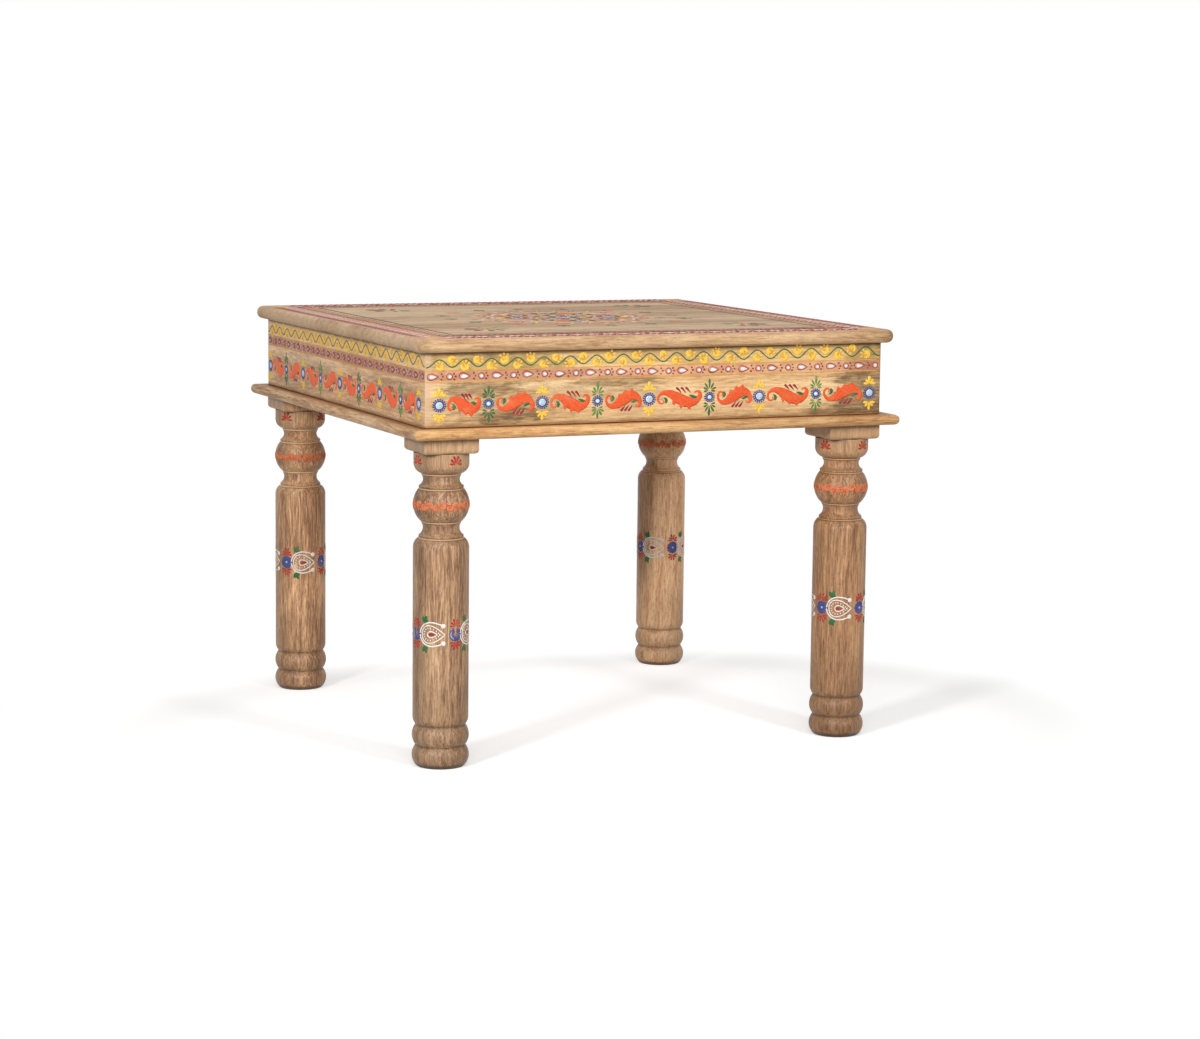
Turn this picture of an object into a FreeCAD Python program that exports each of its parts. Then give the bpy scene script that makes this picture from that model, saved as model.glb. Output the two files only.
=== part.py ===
import FreeCAD, Part

import math
import os

import Sketcher
from FreeCAD import Placement, Rotation, Vector

# Square wooden coffee table with a boarded top, a mitred apron on a rounded base rail, and four turned legs.
# Millimetres, +Z up, the origin on the floor under the middle of the top, the front towards -Y.

SIDES = ("front", "right", "back", "left")
CORNERS = ("front_left", "front_right", "back_right", "back_left")
QUARTER_TURN = 90

driving_sizes = {
    # Top
    "table_height": 442,
    "top_width": 542,
    "top_thickness": 14,
    "top_edge_round": 6.5,
    "top_corner_ease": 3,
    "top_overhang": 12,
    "board_count": 5,
    # Apron, four mitred boards under the top
    "apron_height": 76.5,
    "apron_thickness": 16,
    "apron_foot_chamfer": 1,
    # Base rail, four mitred flat rails with a rounded nose under the apron
    "rail_projection": 16,
    "rail_depth": 76,
    "rail_thickness": 11,
    "rail_nose_round": 5,
    # Largest share of a board's thickness that one of two facing rounds may take
    "round_limit_share": 0.48,
    # Leg, from its square block down to its foot
    "leg_block_width": 59,
    "leg_block_height": 16,
    "leg_block_round": 4,
    "leg_disc_diameter": 57,
    "leg_disc_height": 11,
    "leg_disc_curve_height": 10.2,
    "leg_disc_foot_diameter": 43,
    "leg_bead_diameter": 41,
    "leg_bead_height": 1.7,
    "leg_neck_height": 11.4,
    "leg_lower_neck_height": 13,
    "leg_neck_hollow": 2.9,
    "leg_lip_diameter": 46,
    "leg_lip_height": 1.7,
    "leg_bulb_top_diameter": 44,
    "leg_bulb_foot_diameter": 43,
    "leg_bulb_height": 34.2,
    "leg_bulb_bow": 7.1,
    "leg_shoulder_top_diameter": 43.5,
    "leg_shoulder_height": 11,
    "leg_shaft_diameter": 57.5,
    "leg_shaft_foot_height": 8,
    "leg_groove_diameter": 51,
    "leg_ring_height": 21.5,
    "leg_ring_bow": 3.9,
    "leg_foot_height": 22,
    "leg_foot_bow": 4.7,
    "leg_foot_base_diameter": 48,
    # Corner blocks that clamp the legs, on the base rail inside the apron
    "block_length": 84,
    "block_height": 36,
    "block_flat_thickness": 18,
    "block_flat_length": 26,
    # Battens inside the apron that hold the top down
    "cleat_width": 20,
    "cleat_height": 20,
    "cleat_end_margin": 24,
    # Hanger bolts with their washers and nuts
    "bolt_diameter": 8,
    "bolt_setback": 13,
    "bolt_bite": 30,
    "bolt_stickout": 4,
    "bolt_point_height": 5,
    "bolt_point_diameter": 3,
    "bolt_chamfer": 1,
    "bolt_clearance": 0.2,
    "washer_diameter": 16,
    "washer_thickness": 1.6,
    "nut_width": 13,
    "nut_height": 6.5,
    "nut_clearance": 0.1,
    # Countersunk wood screws
    "screw_head_diameter": 7.4,
    "screw_head_rim": 0.5,
    "screw_head_cone": 2,
    "screw_shank_diameter": 3.6,
    "screw_point_height": 4,
    "screw_clearance": 0.15,
    "top_screw_bite_share": 0.55,
    "apron_screw_bite_share": 0.6,
    "rail_screw_bite": 18,
    "top_screw_count": 5,
    "rail_screw_count": 4,
    "rail_screw_margin": 30,
    "block_screw_count": 2,
    "block_screw_spacing": 18,
    # How far a cut runs past the face that it starts from
    "cut_overrun": 1,
}

derived_sizes = {
    # Levels above the floor
    "top_underside": "sizes.table_height - sizes.top_thickness",
    "rail_top": "places.top_underside - sizes.apron_height",
    "rail_bottom": "places.rail_top - sizes.rail_thickness",
    "leg_block_bottom": "places.rail_bottom - sizes.leg_block_height",
    "cleat_bottom": "places.top_underside - sizes.cleat_height",
    "cleat_middle": "places.top_underside - sizes.cleat_height / 2",
    "block_top": "places.rail_top + sizes.block_height",
    "block_middle": "places.rail_top + sizes.block_height / 2",
    "nut_bottom": "places.block_top + sizes.washer_thickness",
    # Distances from the table's middle
    "top_half": "sizes.top_width / 2",
    "apron_half": "places.top_half - sizes.top_overhang",
    "apron_inner": "places.apron_half - sizes.apron_thickness",
    "apron_middle": "places.apron_half - sizes.apron_thickness / 2",
    "rail_half": "places.apron_half + sizes.rail_projection",
    "rail_inner": "places.rail_half - sizes.rail_depth",
    "leg_centre": "places.apron_inner - sizes.bolt_setback",
    "cleat_inner": "places.apron_inner - sizes.cleat_width",
    "cleat_screw_line": "places.apron_inner - sizes.cleat_width / 2",
    "block_end": "places.apron_inner - sizes.block_length",
    "block_web": "places.apron_inner - sizes.block_length + sizes.block_flat_length",
    "block_flat": "places.apron_inner - sizes.block_flat_thickness",
    "block_screw_line": "places.apron_inner - sizes.block_length + sizes.block_flat_length / 2",
    "rail_screw_span": "(places.block_end - sizes.rail_screw_margin) * 2",
    # Top
    "board_width": "sizes.top_width / sizes.board_count",
    "top_round": "min(sizes.top_edge_round; sizes.top_thickness * sizes.round_limit_share)",
    "top_corner_radius": "places.top_round + sizes.top_corner_ease",
    "rail_round": "min(sizes.rail_nose_round; sizes.rail_thickness * sizes.round_limit_share)",
    # Leg radii
    "leg_block_half": "sizes.leg_block_width / 2",
    "disc_radius": "sizes.leg_disc_diameter / 2",
    "disc_foot_radius": "sizes.leg_disc_foot_diameter / 2",
    "bead_radius": "sizes.leg_bead_diameter / 2",
    "lip_radius": "sizes.leg_lip_diameter / 2",
    "bulb_top_radius": "sizes.leg_bulb_top_diameter / 2",
    "bulb_foot_radius": "sizes.leg_bulb_foot_diameter / 2",
    "shoulder_radius": "sizes.leg_shoulder_top_diameter / 2",
    "shaft_radius": "sizes.leg_shaft_diameter / 2",
    "groove_radius": "sizes.leg_groove_diameter / 2",
    "foot_radius": "sizes.leg_foot_base_diameter / 2",
    # Depths down the leg below its block
    "disc_end": "sizes.leg_disc_height",
    "disc_curve_end": "places.disc_end + sizes.leg_disc_curve_height",
    "upper_bead_end": "places.disc_curve_end + sizes.leg_bead_height",
    "upper_neck_end": "places.upper_bead_end + sizes.leg_neck_height",
    "upper_lip_end": "places.upper_neck_end + sizes.leg_lip_height",
    "bulb_end": "places.upper_lip_end + sizes.leg_bulb_height",
    "lower_bead_end": "places.bulb_end + sizes.leg_bead_height",
    "lower_neck_end": "places.lower_bead_end + sizes.leg_lower_neck_height",
    "lower_lip_end": "places.lower_neck_end + sizes.leg_lip_height",
    "shoulder_end": "places.lower_lip_end + sizes.leg_shoulder_height",
    "foot_start": "places.leg_block_bottom - sizes.leg_foot_height",
    "ring_start": "places.foot_start - sizes.leg_ring_height",
    "shaft_end": "places.ring_start - sizes.leg_shaft_foot_height",
    # Quarter rounds that leave the piece's side smoothly: each one's width, chord and bow out from the chord
    "disc_curve_width": "places.disc_radius - places.disc_foot_radius",
    "disc_curve_chord": "sqrt(places.disc_curve_width^2 + sizes.leg_disc_curve_height^2)",
    "disc_bow": "places.disc_curve_chord * (places.disc_curve_chord - sizes.leg_disc_curve_height)"
                " / (2 * places.disc_curve_width)",
    "shoulder_width": "places.shaft_radius - places.shoulder_radius",
    "shoulder_chord": "sqrt(places.shoulder_width^2 + sizes.leg_shoulder_height^2)",
    "shoulder_bow": "places.shoulder_chord * (places.shoulder_chord - sizes.leg_shoulder_height)"
                    " / (2 * places.shoulder_width)",
    "shaft_foot_width": "places.shaft_radius - places.groove_radius",
    "shaft_foot_chord": "sqrt(places.shaft_foot_width^2 + sizes.leg_shaft_foot_height^2)",
    "shaft_foot_bow": "places.shaft_foot_chord * (places.shaft_foot_chord - sizes.leg_shaft_foot_height)"
                      " / (2 * places.shaft_foot_width)",
    # Battens: the front and back ones run the full inner width, and the side ones fit between them
    "long_cleat_length": "places.apron_inner * 2",
    "long_cleat_half": "places.apron_inner",
    "short_cleat_length": "places.cleat_inner * 2",
    "short_cleat_half": "places.cleat_inner",
    # Hanger bolts
    "bolt_radius": "sizes.bolt_diameter / 2",
    "bolt_point_radius": "sizes.bolt_point_diameter / 2",
    "bolt_end_radius": "sizes.bolt_diameter / 2 - sizes.bolt_chamfer",
    "bolt_point_end": "sizes.bolt_bite - sizes.bolt_point_height",
    "bolt_top": "sizes.rail_thickness + sizes.block_height + sizes.washer_thickness"
                " + sizes.nut_height + sizes.bolt_stickout",
    "bolt_chamfer_start": "places.bolt_top - sizes.bolt_chamfer",
    "bolt_hole_radius": "places.bolt_radius + sizes.bolt_clearance",
    "bolt_hole_length": "sizes.bolt_bite + places.bolt_top + sizes.bolt_clearance",
    "bolt_hole_bottom": "places.rail_bottom - sizes.bolt_bite - sizes.bolt_clearance",
    "washer_radius": "sizes.washer_diameter / 2",
    "nut_radius": "sizes.nut_width / sqrt(3)",
    "nut_hole_radius": "places.bolt_radius + sizes.nut_clearance",
    "nut_hole_length": "sizes.nut_height + sizes.cut_overrun * 2",
    # Screws, and the holes that take them
    "screw_head_radius": "sizes.screw_head_diameter / 2",
    "screw_shank_radius": "sizes.screw_shank_diameter / 2",
    "screw_neck": "sizes.screw_head_rim + sizes.screw_head_cone",
    "drill_head_radius": "places.screw_head_radius + sizes.screw_clearance",
    "drill_shank_radius": "places.screw_shank_radius + sizes.screw_clearance",
    "top_screw_length": "sizes.cleat_height + sizes.top_thickness * sizes.top_screw_bite_share",
    "cleat_screw_length": "sizes.cleat_width + sizes.apron_thickness * sizes.apron_screw_bite_share",
    "block_screw_length": "sizes.block_flat_thickness + sizes.apron_thickness * sizes.apron_screw_bite_share",
    "rail_screw_length": "sizes.rail_thickness + sizes.rail_screw_bite",
}

for screw in ("top", "cleat", "block", "rail"):
    derived_sizes[f"{screw}_screw_shoulder"] = f"places.{screw}_screw_length - sizes.screw_point_height"
    derived_sizes[f"{screw}_drill_length"] = f"places.{screw}_screw_length + sizes.screw_clearance"
    derived_sizes[f"{screw}_drill_shoulder"] = f"places.{screw}_drill_length - sizes.screw_point_height"

doc = FreeCAD.newDocument("coffee_table")
sizes = doc.addObject("Spreadsheet::Sheet", "sizes")
for row, (alias, value) in enumerate(driving_sizes.items(), start=1):
    sizes.set(f"A{row}", alias)
    sizes.set(f"B{row}", str(value))
    sizes.setAlias(f"B{row}", alias)
doc.recompute()

places = doc.addObject("App::VarSet", "places")
for name in derived_sizes:
    places.addProperty("App::PropertyFloat", name, "Derived")
for name, expression in derived_sizes.items():
    places.setExpression(name, expression)
doc.recompute()

nodes = {}


# Signed size names: "rail_half" and "-rail_half" stand for a size and for its negative.

def opposite(word):
    if word == "zero":
        return word
    return word[1:] if word.startswith("-") else f"-{word}"


def number(word):
    """Give the present value of a signed size name."""
    if word == "zero":
        return 0
    if word.startswith("-"):
        return -number(word[1:])
    holder = sizes if word in driving_sizes else places
    return getattr(holder, word)


def formula(word):
    """Give the expression that binds a property to a signed size name."""
    if word == "zero":
        return "0"
    if word.startswith("-"):
        return f"-{formula(word[1:])}"
    holder = "sizes" if word in driving_sizes else "places"
    return f"{holder}.{word}"


def turn_words(across, along, quarter_turns):
    """Turn a pair of signed size names about the table's middle."""
    for _ in range(quarter_turns):
        across, along = opposite(along), across
    return across, along


def bind_size(piece, **words):
    for name, word in words.items():
        piece.setExpression(name, formula(word))


def place(piece, across="zero", along="zero", up="zero", quarter_turns=0):
    """Bind a piece's place, given as on the front side and turned to its own side."""
    across, along = turn_words(across, along, quarter_turns)
    piece.Placement = Placement(Vector(), Rotation(Vector(0, 0, 1), QUARTER_TURN * quarter_turns))
    bind_size(piece, **{".Placement.Base.x": across, ".Placement.Base.y": along, ".Placement.Base.z": up})


def origin_plane(body, role):
    return next(feature for feature in body.Origin.OriginFeatures if feature.Role == role)


def new_sketch(body, name, role):
    sketch = body.newObject("Sketcher::SketchObject", name)
    sketch.AttachmentSupport = (origin_plane(body, role), [""])
    sketch.MapMode = "FlatFace"
    return sketch


def pin_point(sketch, edge, end, across, along):
    """Hold one end of an edge at two signed size names, measured from the sketch's origin."""
    for kind, word, axis in (("DistanceX", across, -2), ("DistanceY", along, -1)):
        if word == "zero":
            sketch.addConstraint(Sketcher.Constraint("PointOnObject", edge, end, axis))
        else:
            held = sketch.addConstraint(Sketcher.Constraint(kind, -1, 1, edge, end, number(word)))
            sketch.setExpression(f"Constraints[{held}]", formula(word))


def bowed_edge(start, end, bow):
    """Give the arc that leaves a chord by bow, to the left of its direction if bow is positive."""
    chord = end.sub(start)
    left = Vector(-chord.y, chord.x, 0).normalize()
    radius = chord.Length ** 2 / (8 * abs(bow)) + abs(bow) / 2
    towards = math.copysign(1, bow)
    centre = (start + end) * 0.5 + left * (bow - towards * radius)
    first, last = (end, start) if bow > 0 else (start, end)
    first_angle = math.atan2(first.y - centre.y, first.x - centre.x)
    last_angle = math.atan2(last.y - centre.y, last.x - centre.x)
    if last_angle < first_angle:
        last_angle += math.tau
    return Part.ArcOfCircle(Part.Circle(centre, Vector(0, 0, 1), radius), first_angle, last_angle)


def draw_outline(body, name, role, corners):
    """Draw a closed outline; a corner's third word, if any, bows the run to the next corner."""
    sketch = new_sketch(body, name, role)
    points = [Vector(number(corner[0]), number(corner[1]), 0) for corner in corners]
    ends = []
    for index, corner in enumerate(corners):
        following = (index + 1) % len(corners)
        bow = number(corner[2]) if len(corner) > 2 else 0
        if bow == 0:
            sketch.addGeometry(Part.LineSegment(points[index], points[following]))
        else:
            sketch.addGeometry(bowed_edge(points[index], points[following], bow))
        ends.append((2, 1) if bow > 0 else (1, 2))
    for index, corner in enumerate(corners):
        following = (index + 1) % len(corners)
        joint = Sketcher.Constraint("Coincident", index, ends[index][1], following, ends[following][0])
        sketch.addConstraint(joint)
        pin_point(sketch, index, ends[index][0], corner[0], corner[1])
        if len(corner) > 2:
            bow_word = corner[2].lstrip("-")
            radius = sketch.addConstraint(
                Sketcher.Constraint("Radius", index, sketch.Geometry[index].Radius))
            width = f"({formula(corners[following][0])} - ({formula(corner[0])}))"
            height = f"({formula(corners[following][1])} - ({formula(corner[1])}))"
            bow = formula(bow_word)
            sketch.setExpression(
                f"Constraints[{radius}]", f"({width}^2 + {height}^2) / (8 * {bow}) + {bow} / 2")
    return sketch


def square_corners(half):
    return [turn_words(f"-{half}", f"-{half}", turns) for turns in range(len(CORNERS))]


def pad(body, name, sketch, length):
    feature = body.newObject("PartDesign::Pad", name)
    feature.Profile = sketch
    bind_size(feature, Length=length)
    doc.recompute()
    return feature


def revolve(body, name, sketch):
    feature = body.newObject("PartDesign::Revolution", name)
    feature.Profile = sketch
    feature.ReferenceAxis = (sketch, ["V_Axis"])
    feature.Angle = 360
    doc.recompute()
    return feature


def edges_where(feature, test):
    """Name the feature's edges whose every end passes the test."""
    return [f"Edge{index}" for index, edge in enumerate(feature.Shape.Edges, start=1)
            if all(test(vertex.Point) for vertex in edge.Vertexes)]


def round_edges(body, name, feature, edges, radius):
    fillet = body.newObject("PartDesign::Fillet", name)
    fillet.Base = (feature, edges)
    bind_size(fillet, Radius=radius)
    doc.recompute()
    return fillet


def same(one, other):
    return math.isclose(one, other, abs_tol=Part.Precision.confusion() * 100)


def placed_group(name, master, spots):
    """Make one group of separate copies of a master piece."""
    copies = []
    for spot in spots:
        copy = master.Shape.copy()
        copy.Placement = spot.multiply(master.Placement)
        copies.append(copy)
    group = doc.addObject("Part::Feature", name)
    group.Shape = Part.makeCompound(copies)
    return group


def cut_node(label, base, tools):
    """Cut tools out of a piece and keep what is left as a node."""
    cut = doc.addObject("Part::Cut", label)
    cut.Base = base
    cut.Tool = tools
    nodes[label] = cut


# Places of the fasteners, worked out on the front side and turned to the side that is asked for

UPWARDS = Rotation()
OUTWARDS = Rotation(Vector(1, 0, 0), QUARTER_TURN)


def side_spot(side, x, y, z, direction):
    turned = Placement(Vector(), Rotation(Vector(0, 0, 1), QUARTER_TURN * side))
    return turned.multiply(Placement(Vector(x, y, z), direction))


def spread(count, span):
    """Give evenly spaced places along a span centred on zero."""
    return [span * (index / (count - 1) - 1 / 2) for index in range(count)]


def cleat_half(side):
    return number("long_cleat_half" if side % 2 == 0 else "short_cleat_half")


def top_screw_row(side):
    return spread(int(number("top_screw_count")), 2 * (cleat_half(side) - number("cleat_end_margin")))


def top_screw_spots(side):
    line = -number("cleat_screw_line")
    return [side_spot(side, x, line, number("cleat_bottom"), UPWARDS) for x in top_screw_row(side)]


def cleat_screw_spots(side):
    row = top_screw_row(side)
    between = [(first + second) / 2 for first, second in zip(row, row[1:])]
    face = -number("cleat_inner")
    return [side_spot(side, x, face, number("cleat_middle"), OUTWARDS) for x in between]


def rail_screw_spots(side):
    row = spread(int(number("rail_screw_count")), number("rail_screw_span"))
    line = -number("apron_middle")
    return [side_spot(side, x, line, number("rail_bottom"), UPWARDS) for x in row]


def block_screw_spots(side, ends=(-1, 1)):
    count = int(number("block_screw_count"))
    levels = spread(count, number("block_screw_spacing") * (count - 1))
    face = -number("block_flat")
    line = number("block_screw_line")
    return [side_spot(side, end * line, face, number("block_middle") + level, OUTWARDS)
            for end in ends for level in levels]


def bolt_spot(corner, level):
    centre = -number("leg_centre")
    return side_spot(corner, centre, centre, level, UPWARDS)


def on_all(spots):
    return [spot for side in range(len(SIDES)) for spot in spots(side)]


# Screws and bolts: one master of each, and the drill that makes its hole

def make_screw(name, head, shank, shoulder, length, start):
    body = doc.addObject("PartDesign::Body", name)
    section = [("zero", start), (head, start), (head, "screw_head_rim"), (shank, "screw_neck"),
               (shank, shoulder), ("zero", length)]
    revolve(body, f"{name}_turning", draw_outline(body, f"{name}_section", "XZ_Plane", section))
    return body


def make_screw_and_drill(kind):
    screw = make_screw(f"{kind}_screw", "screw_head_radius", "screw_shank_radius",
                       f"{kind}_screw_shoulder", f"{kind}_screw_length", "zero")
    drill = make_screw(f"{kind}_drill", "drill_head_radius", "drill_shank_radius",
                       f"{kind}_drill_shoulder", f"{kind}_drill_length", "-cut_overrun")
    return screw, drill


top_screw, top_drill = make_screw_and_drill("top")
cleat_screw, cleat_drill = make_screw_and_drill("cleat")
block_screw, block_drill = make_screw_and_drill("block")
rail_screw, rail_drill = make_screw_and_drill("rail")

hanger_bolt = doc.addObject("PartDesign::Body", "hanger_bolt")
hanger_bolt_section = [
    ("zero", "-bolt_bite"), ("bolt_point_radius", "-bolt_bite"), ("bolt_radius", "-bolt_point_end"),
    ("bolt_radius", "bolt_chamfer_start"), ("bolt_end_radius", "bolt_top"), ("zero", "bolt_top")]
revolve(hanger_bolt, "hanger_bolt_turning",
        draw_outline(hanger_bolt, "hanger_bolt_section", "XZ_Plane", hanger_bolt_section))

bolt_drill = doc.addObject("Part::Cylinder", "bolt_drill")
bind_size(bolt_drill, Radius="bolt_hole_radius", Height="bolt_hole_length")

nut_drill = doc.addObject("Part::Cylinder", "nut_drill")
bind_size(nut_drill, Radius="nut_hole_radius", Height="nut_hole_length")
place(nut_drill, up="-cut_overrun")

washer_disc = doc.addObject("Part::Cylinder", "washer_disc")
bind_size(washer_disc, Radius="washer_radius", Height="washer_thickness")
washer = doc.addObject("Part::Cut", "washer")
washer.Base = washer_disc
washer.Tool = nut_drill

nut_prism = doc.addObject("Part::Prism", "nut_prism")
nut_prism.Polygon = 6
bind_size(nut_prism, Circumradius="nut_radius", Height="nut_height")
nut = doc.addObject("Part::Cut", "nut")
nut.Base = nut_prism
nut.Tool = nut_drill
doc.recompute()


# Top: one rounded panel, sliced along X into edge-glued boards

def make_top():
    panel = doc.addObject("PartDesign::Body", "top_panel")
    place(panel, up="top_underside")
    slab = pad(panel, "top_slab", draw_outline(panel, "top_plan", "XY_Plane", square_corners("top_half")),
               "top_thickness")
    upright = edges_where(slab, lambda point: True)
    upright = [edge for edge in upright if same(slab.Shape.getElement(edge).tangentAt(0).z ** 2, 1)]
    cornered = round_edges(panel, "top_corners", slab, upright, "top_corner_radius")
    thickness = number("top_thickness")
    rims = edges_where(cornered, lambda point: same(point.z, 0))
    rims += edges_where(cornered, lambda point: same(point.z, thickness))
    round_edges(panel, "top_nose", cornered, rims, "top_round")

    for index in range(int(number("board_count"))):
        label = f"top_board_{index + 1}"
        slice_box = doc.addObject("Part::Box", f"{label}_slice")
        bind_size(slice_box, Length="top_width", Width="board_width", Height="top_thickness")
        place(slice_box, across="-top_half", up="top_underside")
        slice_box.setExpression(".Placement.Base.y", f"places.board_width * {index} - places.top_half")
        board = doc.addObject("Part::Common", f"{label}_blank")
        board.Base = panel
        board.Tool = slice_box
        cut_node(label, board, placed_group(f"{label}_holes", top_drill, on_all(top_screw_spots)))


# Apron: mitred boards with a small chamfer at the foot that leaves a shadow line above the rail

def make_apron(side):
    label = f"apron_{SIDES[side]}"
    body = doc.addObject("PartDesign::Body", f"{label}_board")
    place(body, up="rail_top", quarter_turns=side)
    plan = [("-apron_half", "-apron_half"), ("apron_half", "-apron_half"),
            ("apron_inner", "-apron_inner"), ("-apron_inner", "-apron_inner")]
    board = pad(body, f"{label}_pad", draw_outline(body, f"{label}_plan", "XY_Plane", plan), "apron_height")
    outer = -number("apron_half")
    chamfer = body.newObject("PartDesign::Chamfer", f"{label}_chamfer")
    chamfer.Base = (board, edges_where(board, lambda point: same(point.z, 0) and same(point.y, outer)))
    bind_size(chamfer, Size="apron_foot_chamfer")
    doc.recompute()
    holes = doc.addObject("Part::Compound", f"{label}_holes")
    holes.Links = [
        placed_group(f"{label}_cleat_holes", cleat_drill, cleat_screw_spots(side)),
        placed_group(f"{label}_block_holes", block_drill, block_screw_spots(side)),
        placed_group(f"{label}_rail_holes", rail_drill, rail_screw_spots(side))]
    cut_node(label, body, holes)


# Base rail: mitred flat rails with a rounded nose, each drilled for its screws and for two leg bolts

def make_base_rail(side):
    label = f"base_rail_{SIDES[side]}"
    body = doc.addObject("PartDesign::Body", f"{label}_board")
    place(body, up="rail_bottom", quarter_turns=side)
    plan = [("-rail_half", "-rail_half"), ("rail_half", "-rail_half"),
            ("rail_inner", "-rail_inner"), ("-rail_inner", "-rail_inner")]
    board = pad(body, f"{label}_pad", draw_outline(body, f"{label}_plan", "XY_Plane", plan), "rail_thickness")
    outer = -number("rail_half")
    thickness = number("rail_thickness")
    nose = edges_where(board, lambda point: same(point.y, outer) and same(point.z, 0))
    nose += edges_where(board, lambda point: same(point.y, outer) and same(point.z, thickness))
    round_edges(body, f"{label}_nose", board, nose, "rail_round")
    level = number("bolt_hole_bottom")
    next_corner = (side + 1) % len(CORNERS)
    holes = doc.addObject("Part::Compound", f"{label}_holes")
    holes.Links = [
        placed_group(f"{label}_screw_holes", rail_drill, rail_screw_spots(side)),
        placed_group(f"{label}_bolt_holes", bolt_drill, [bolt_spot(side, level), bolt_spot(next_corner, level)])]
    cut_node(label, body, holes)


# Leg: one turning with a square block at its head, drilled for its hanger bolt

LEG_SECTION = [
    ("zero", "zero"), ("disc_radius", "zero"), ("disc_radius", "-disc_end", "disc_bow"),
    ("disc_foot_radius", "-disc_curve_end"), ("bead_radius", "-disc_curve_end"),
    ("bead_radius", "-upper_bead_end", "-leg_neck_hollow"), ("lip_radius", "-upper_neck_end"),
    ("lip_radius", "-upper_lip_end"), ("bulb_top_radius", "-upper_lip_end", "leg_bulb_bow"),
    ("bulb_foot_radius", "-bulb_end"), ("bead_radius", "-bulb_end"),
    ("bead_radius", "-lower_bead_end", "-leg_neck_hollow"), ("lip_radius", "-lower_neck_end"),
    ("lip_radius", "-lower_lip_end"), ("shoulder_radius", "-lower_lip_end", "shoulder_bow"),
    ("shaft_radius", "-shoulder_end"), ("shaft_radius", "-shaft_end", "shaft_foot_bow"),
    ("groove_radius", "-ring_start", "leg_ring_bow"), ("groove_radius", "-foot_start", "leg_foot_bow"),
    ("foot_radius", "-leg_block_bottom"), ("zero", "-leg_block_bottom")]


def make_leg(corner):
    label = f"leg_{CORNERS[corner]}"
    body = doc.addObject("PartDesign::Body", f"{label}_turning")
    place(body, "-leg_centre", "-leg_centre", "leg_block_bottom", corner)
    block = pad(body, f"{label}_block",
                draw_outline(body, f"{label}_block_plan", "XY_Plane", square_corners("leg_block_half")),
                "leg_block_height")
    underside = edges_where(block, lambda point: same(point.z, 0))
    round_edges(body, f"{label}_block_round", block, underside, "leg_block_round")
    revolve(body, f"{label}_turned", draw_outline(body, f"{label}_section", "XZ_Plane", LEG_SECTION))
    hole = placed_group(f"{label}_bolt_hole", bolt_drill, [bolt_spot(corner, number("bolt_hole_bottom"))])
    cut_node(label, body, hole)


# Corner block: two flats screwed to the apron and a web between them that takes the leg's bolt

def make_corner_block(corner):
    label = f"corner_block_{CORNERS[corner]}"
    body = doc.addObject("PartDesign::Body", f"{label}_blank")
    place(body, up="rail_top", quarter_turns=corner)
    plan = [("-apron_inner", "-apron_inner"), ("-block_end", "-apron_inner"), ("-block_end", "-block_flat"),
            ("-block_web", "-block_flat"), ("-block_flat", "-block_web"), ("-block_flat", "-block_end"),
            ("-apron_inner", "-block_end")]
    pad(body, f"{label}_pad", draw_outline(body, f"{label}_plan", "XY_Plane", plan), "block_height")
    previous_side = (corner - 1) % len(SIDES)
    holes = doc.addObject("Part::Compound", f"{label}_holes")
    holes.Links = [
        placed_group(f"{label}_front_holes", block_drill, block_screw_spots(corner, ends=(-1,))),
        placed_group(f"{label}_side_holes", block_drill, block_screw_spots(previous_side, ends=(1,))),
        placed_group(f"{label}_bolt_hole", bolt_drill, [bolt_spot(corner, number("bolt_hole_bottom"))])]
    cut_node(label, body, holes)


# Battens under the top, screwed up into the boards and out into the apron

def make_cleat(side):
    label = f"top_cleat_{SIDES[side]}"
    kind = "long" if side % 2 == 0 else "short"
    batten = doc.addObject("Part::Box", f"{label}_batten")
    bind_size(batten, Length=f"{kind}_cleat_length", Width="cleat_width", Height="cleat_height")
    place(batten, f"-{kind}_cleat_half", "-apron_inner", "cleat_bottom", side)
    holes = doc.addObject("Part::Compound", f"{label}_holes")
    holes.Links = [
        placed_group(f"{label}_top_holes", top_drill, top_screw_spots(side)),
        placed_group(f"{label}_apron_holes", cleat_drill, cleat_screw_spots(side))]
    cut_node(label, batten, holes)


make_top()
for quarter in range(len(SIDES)):
    make_apron(quarter)
    make_base_rail(quarter)
    make_cleat(quarter)
    make_leg(quarter)
    make_corner_block(quarter)

# Fasteners, one node for each kind

fasteners = {
    "top_cleat_screws": (top_screw, on_all(top_screw_spots)),
    "apron_cleat_screws": (cleat_screw, on_all(cleat_screw_spots)),
    "corner_block_screws": (block_screw, on_all(block_screw_spots)),
    "base_rail_screws": (rail_screw, on_all(rail_screw_spots)),
    "leg_hanger_bolts": (hanger_bolt, on_all(lambda corner: [bolt_spot(corner, number("rail_bottom"))])),
    "leg_washers": (washer, on_all(lambda corner: [bolt_spot(corner, number("block_top"))])),
    "leg_nuts": (nut, on_all(lambda corner: [bolt_spot(corner, number("nut_bottom"))])),
}
for label, (master, spots) in fasteners.items():
    nodes[label] = placed_group(label, master, spots)

doc.recompute()

# Every object must be sound, and every node must have its solids, before anything is written

for item in doc.Objects:
    if "Invalid" in item.State or "Error" in item.State:
        raise RuntimeError(f"{item.Name} failed: {item.State}")
for label, piece in nodes.items():
    wanted = len(fasteners[label][1]) if label in fasteners else 1
    if piece.Shape.isNull() or not piece.Shape.isValid() or len(piece.Shape.Solids) != wanted:
        raise RuntimeError(f"{label} is not {wanted} valid solids")

os.makedirs("parts", exist_ok=True)
for label, piece in nodes.items():
    piece.Label = label
    piece.Shape.exportStep(f"parts/{label}.step")
    print(label, len(piece.Shape.Solids), round(piece.Shape.Volume, 1))
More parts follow.
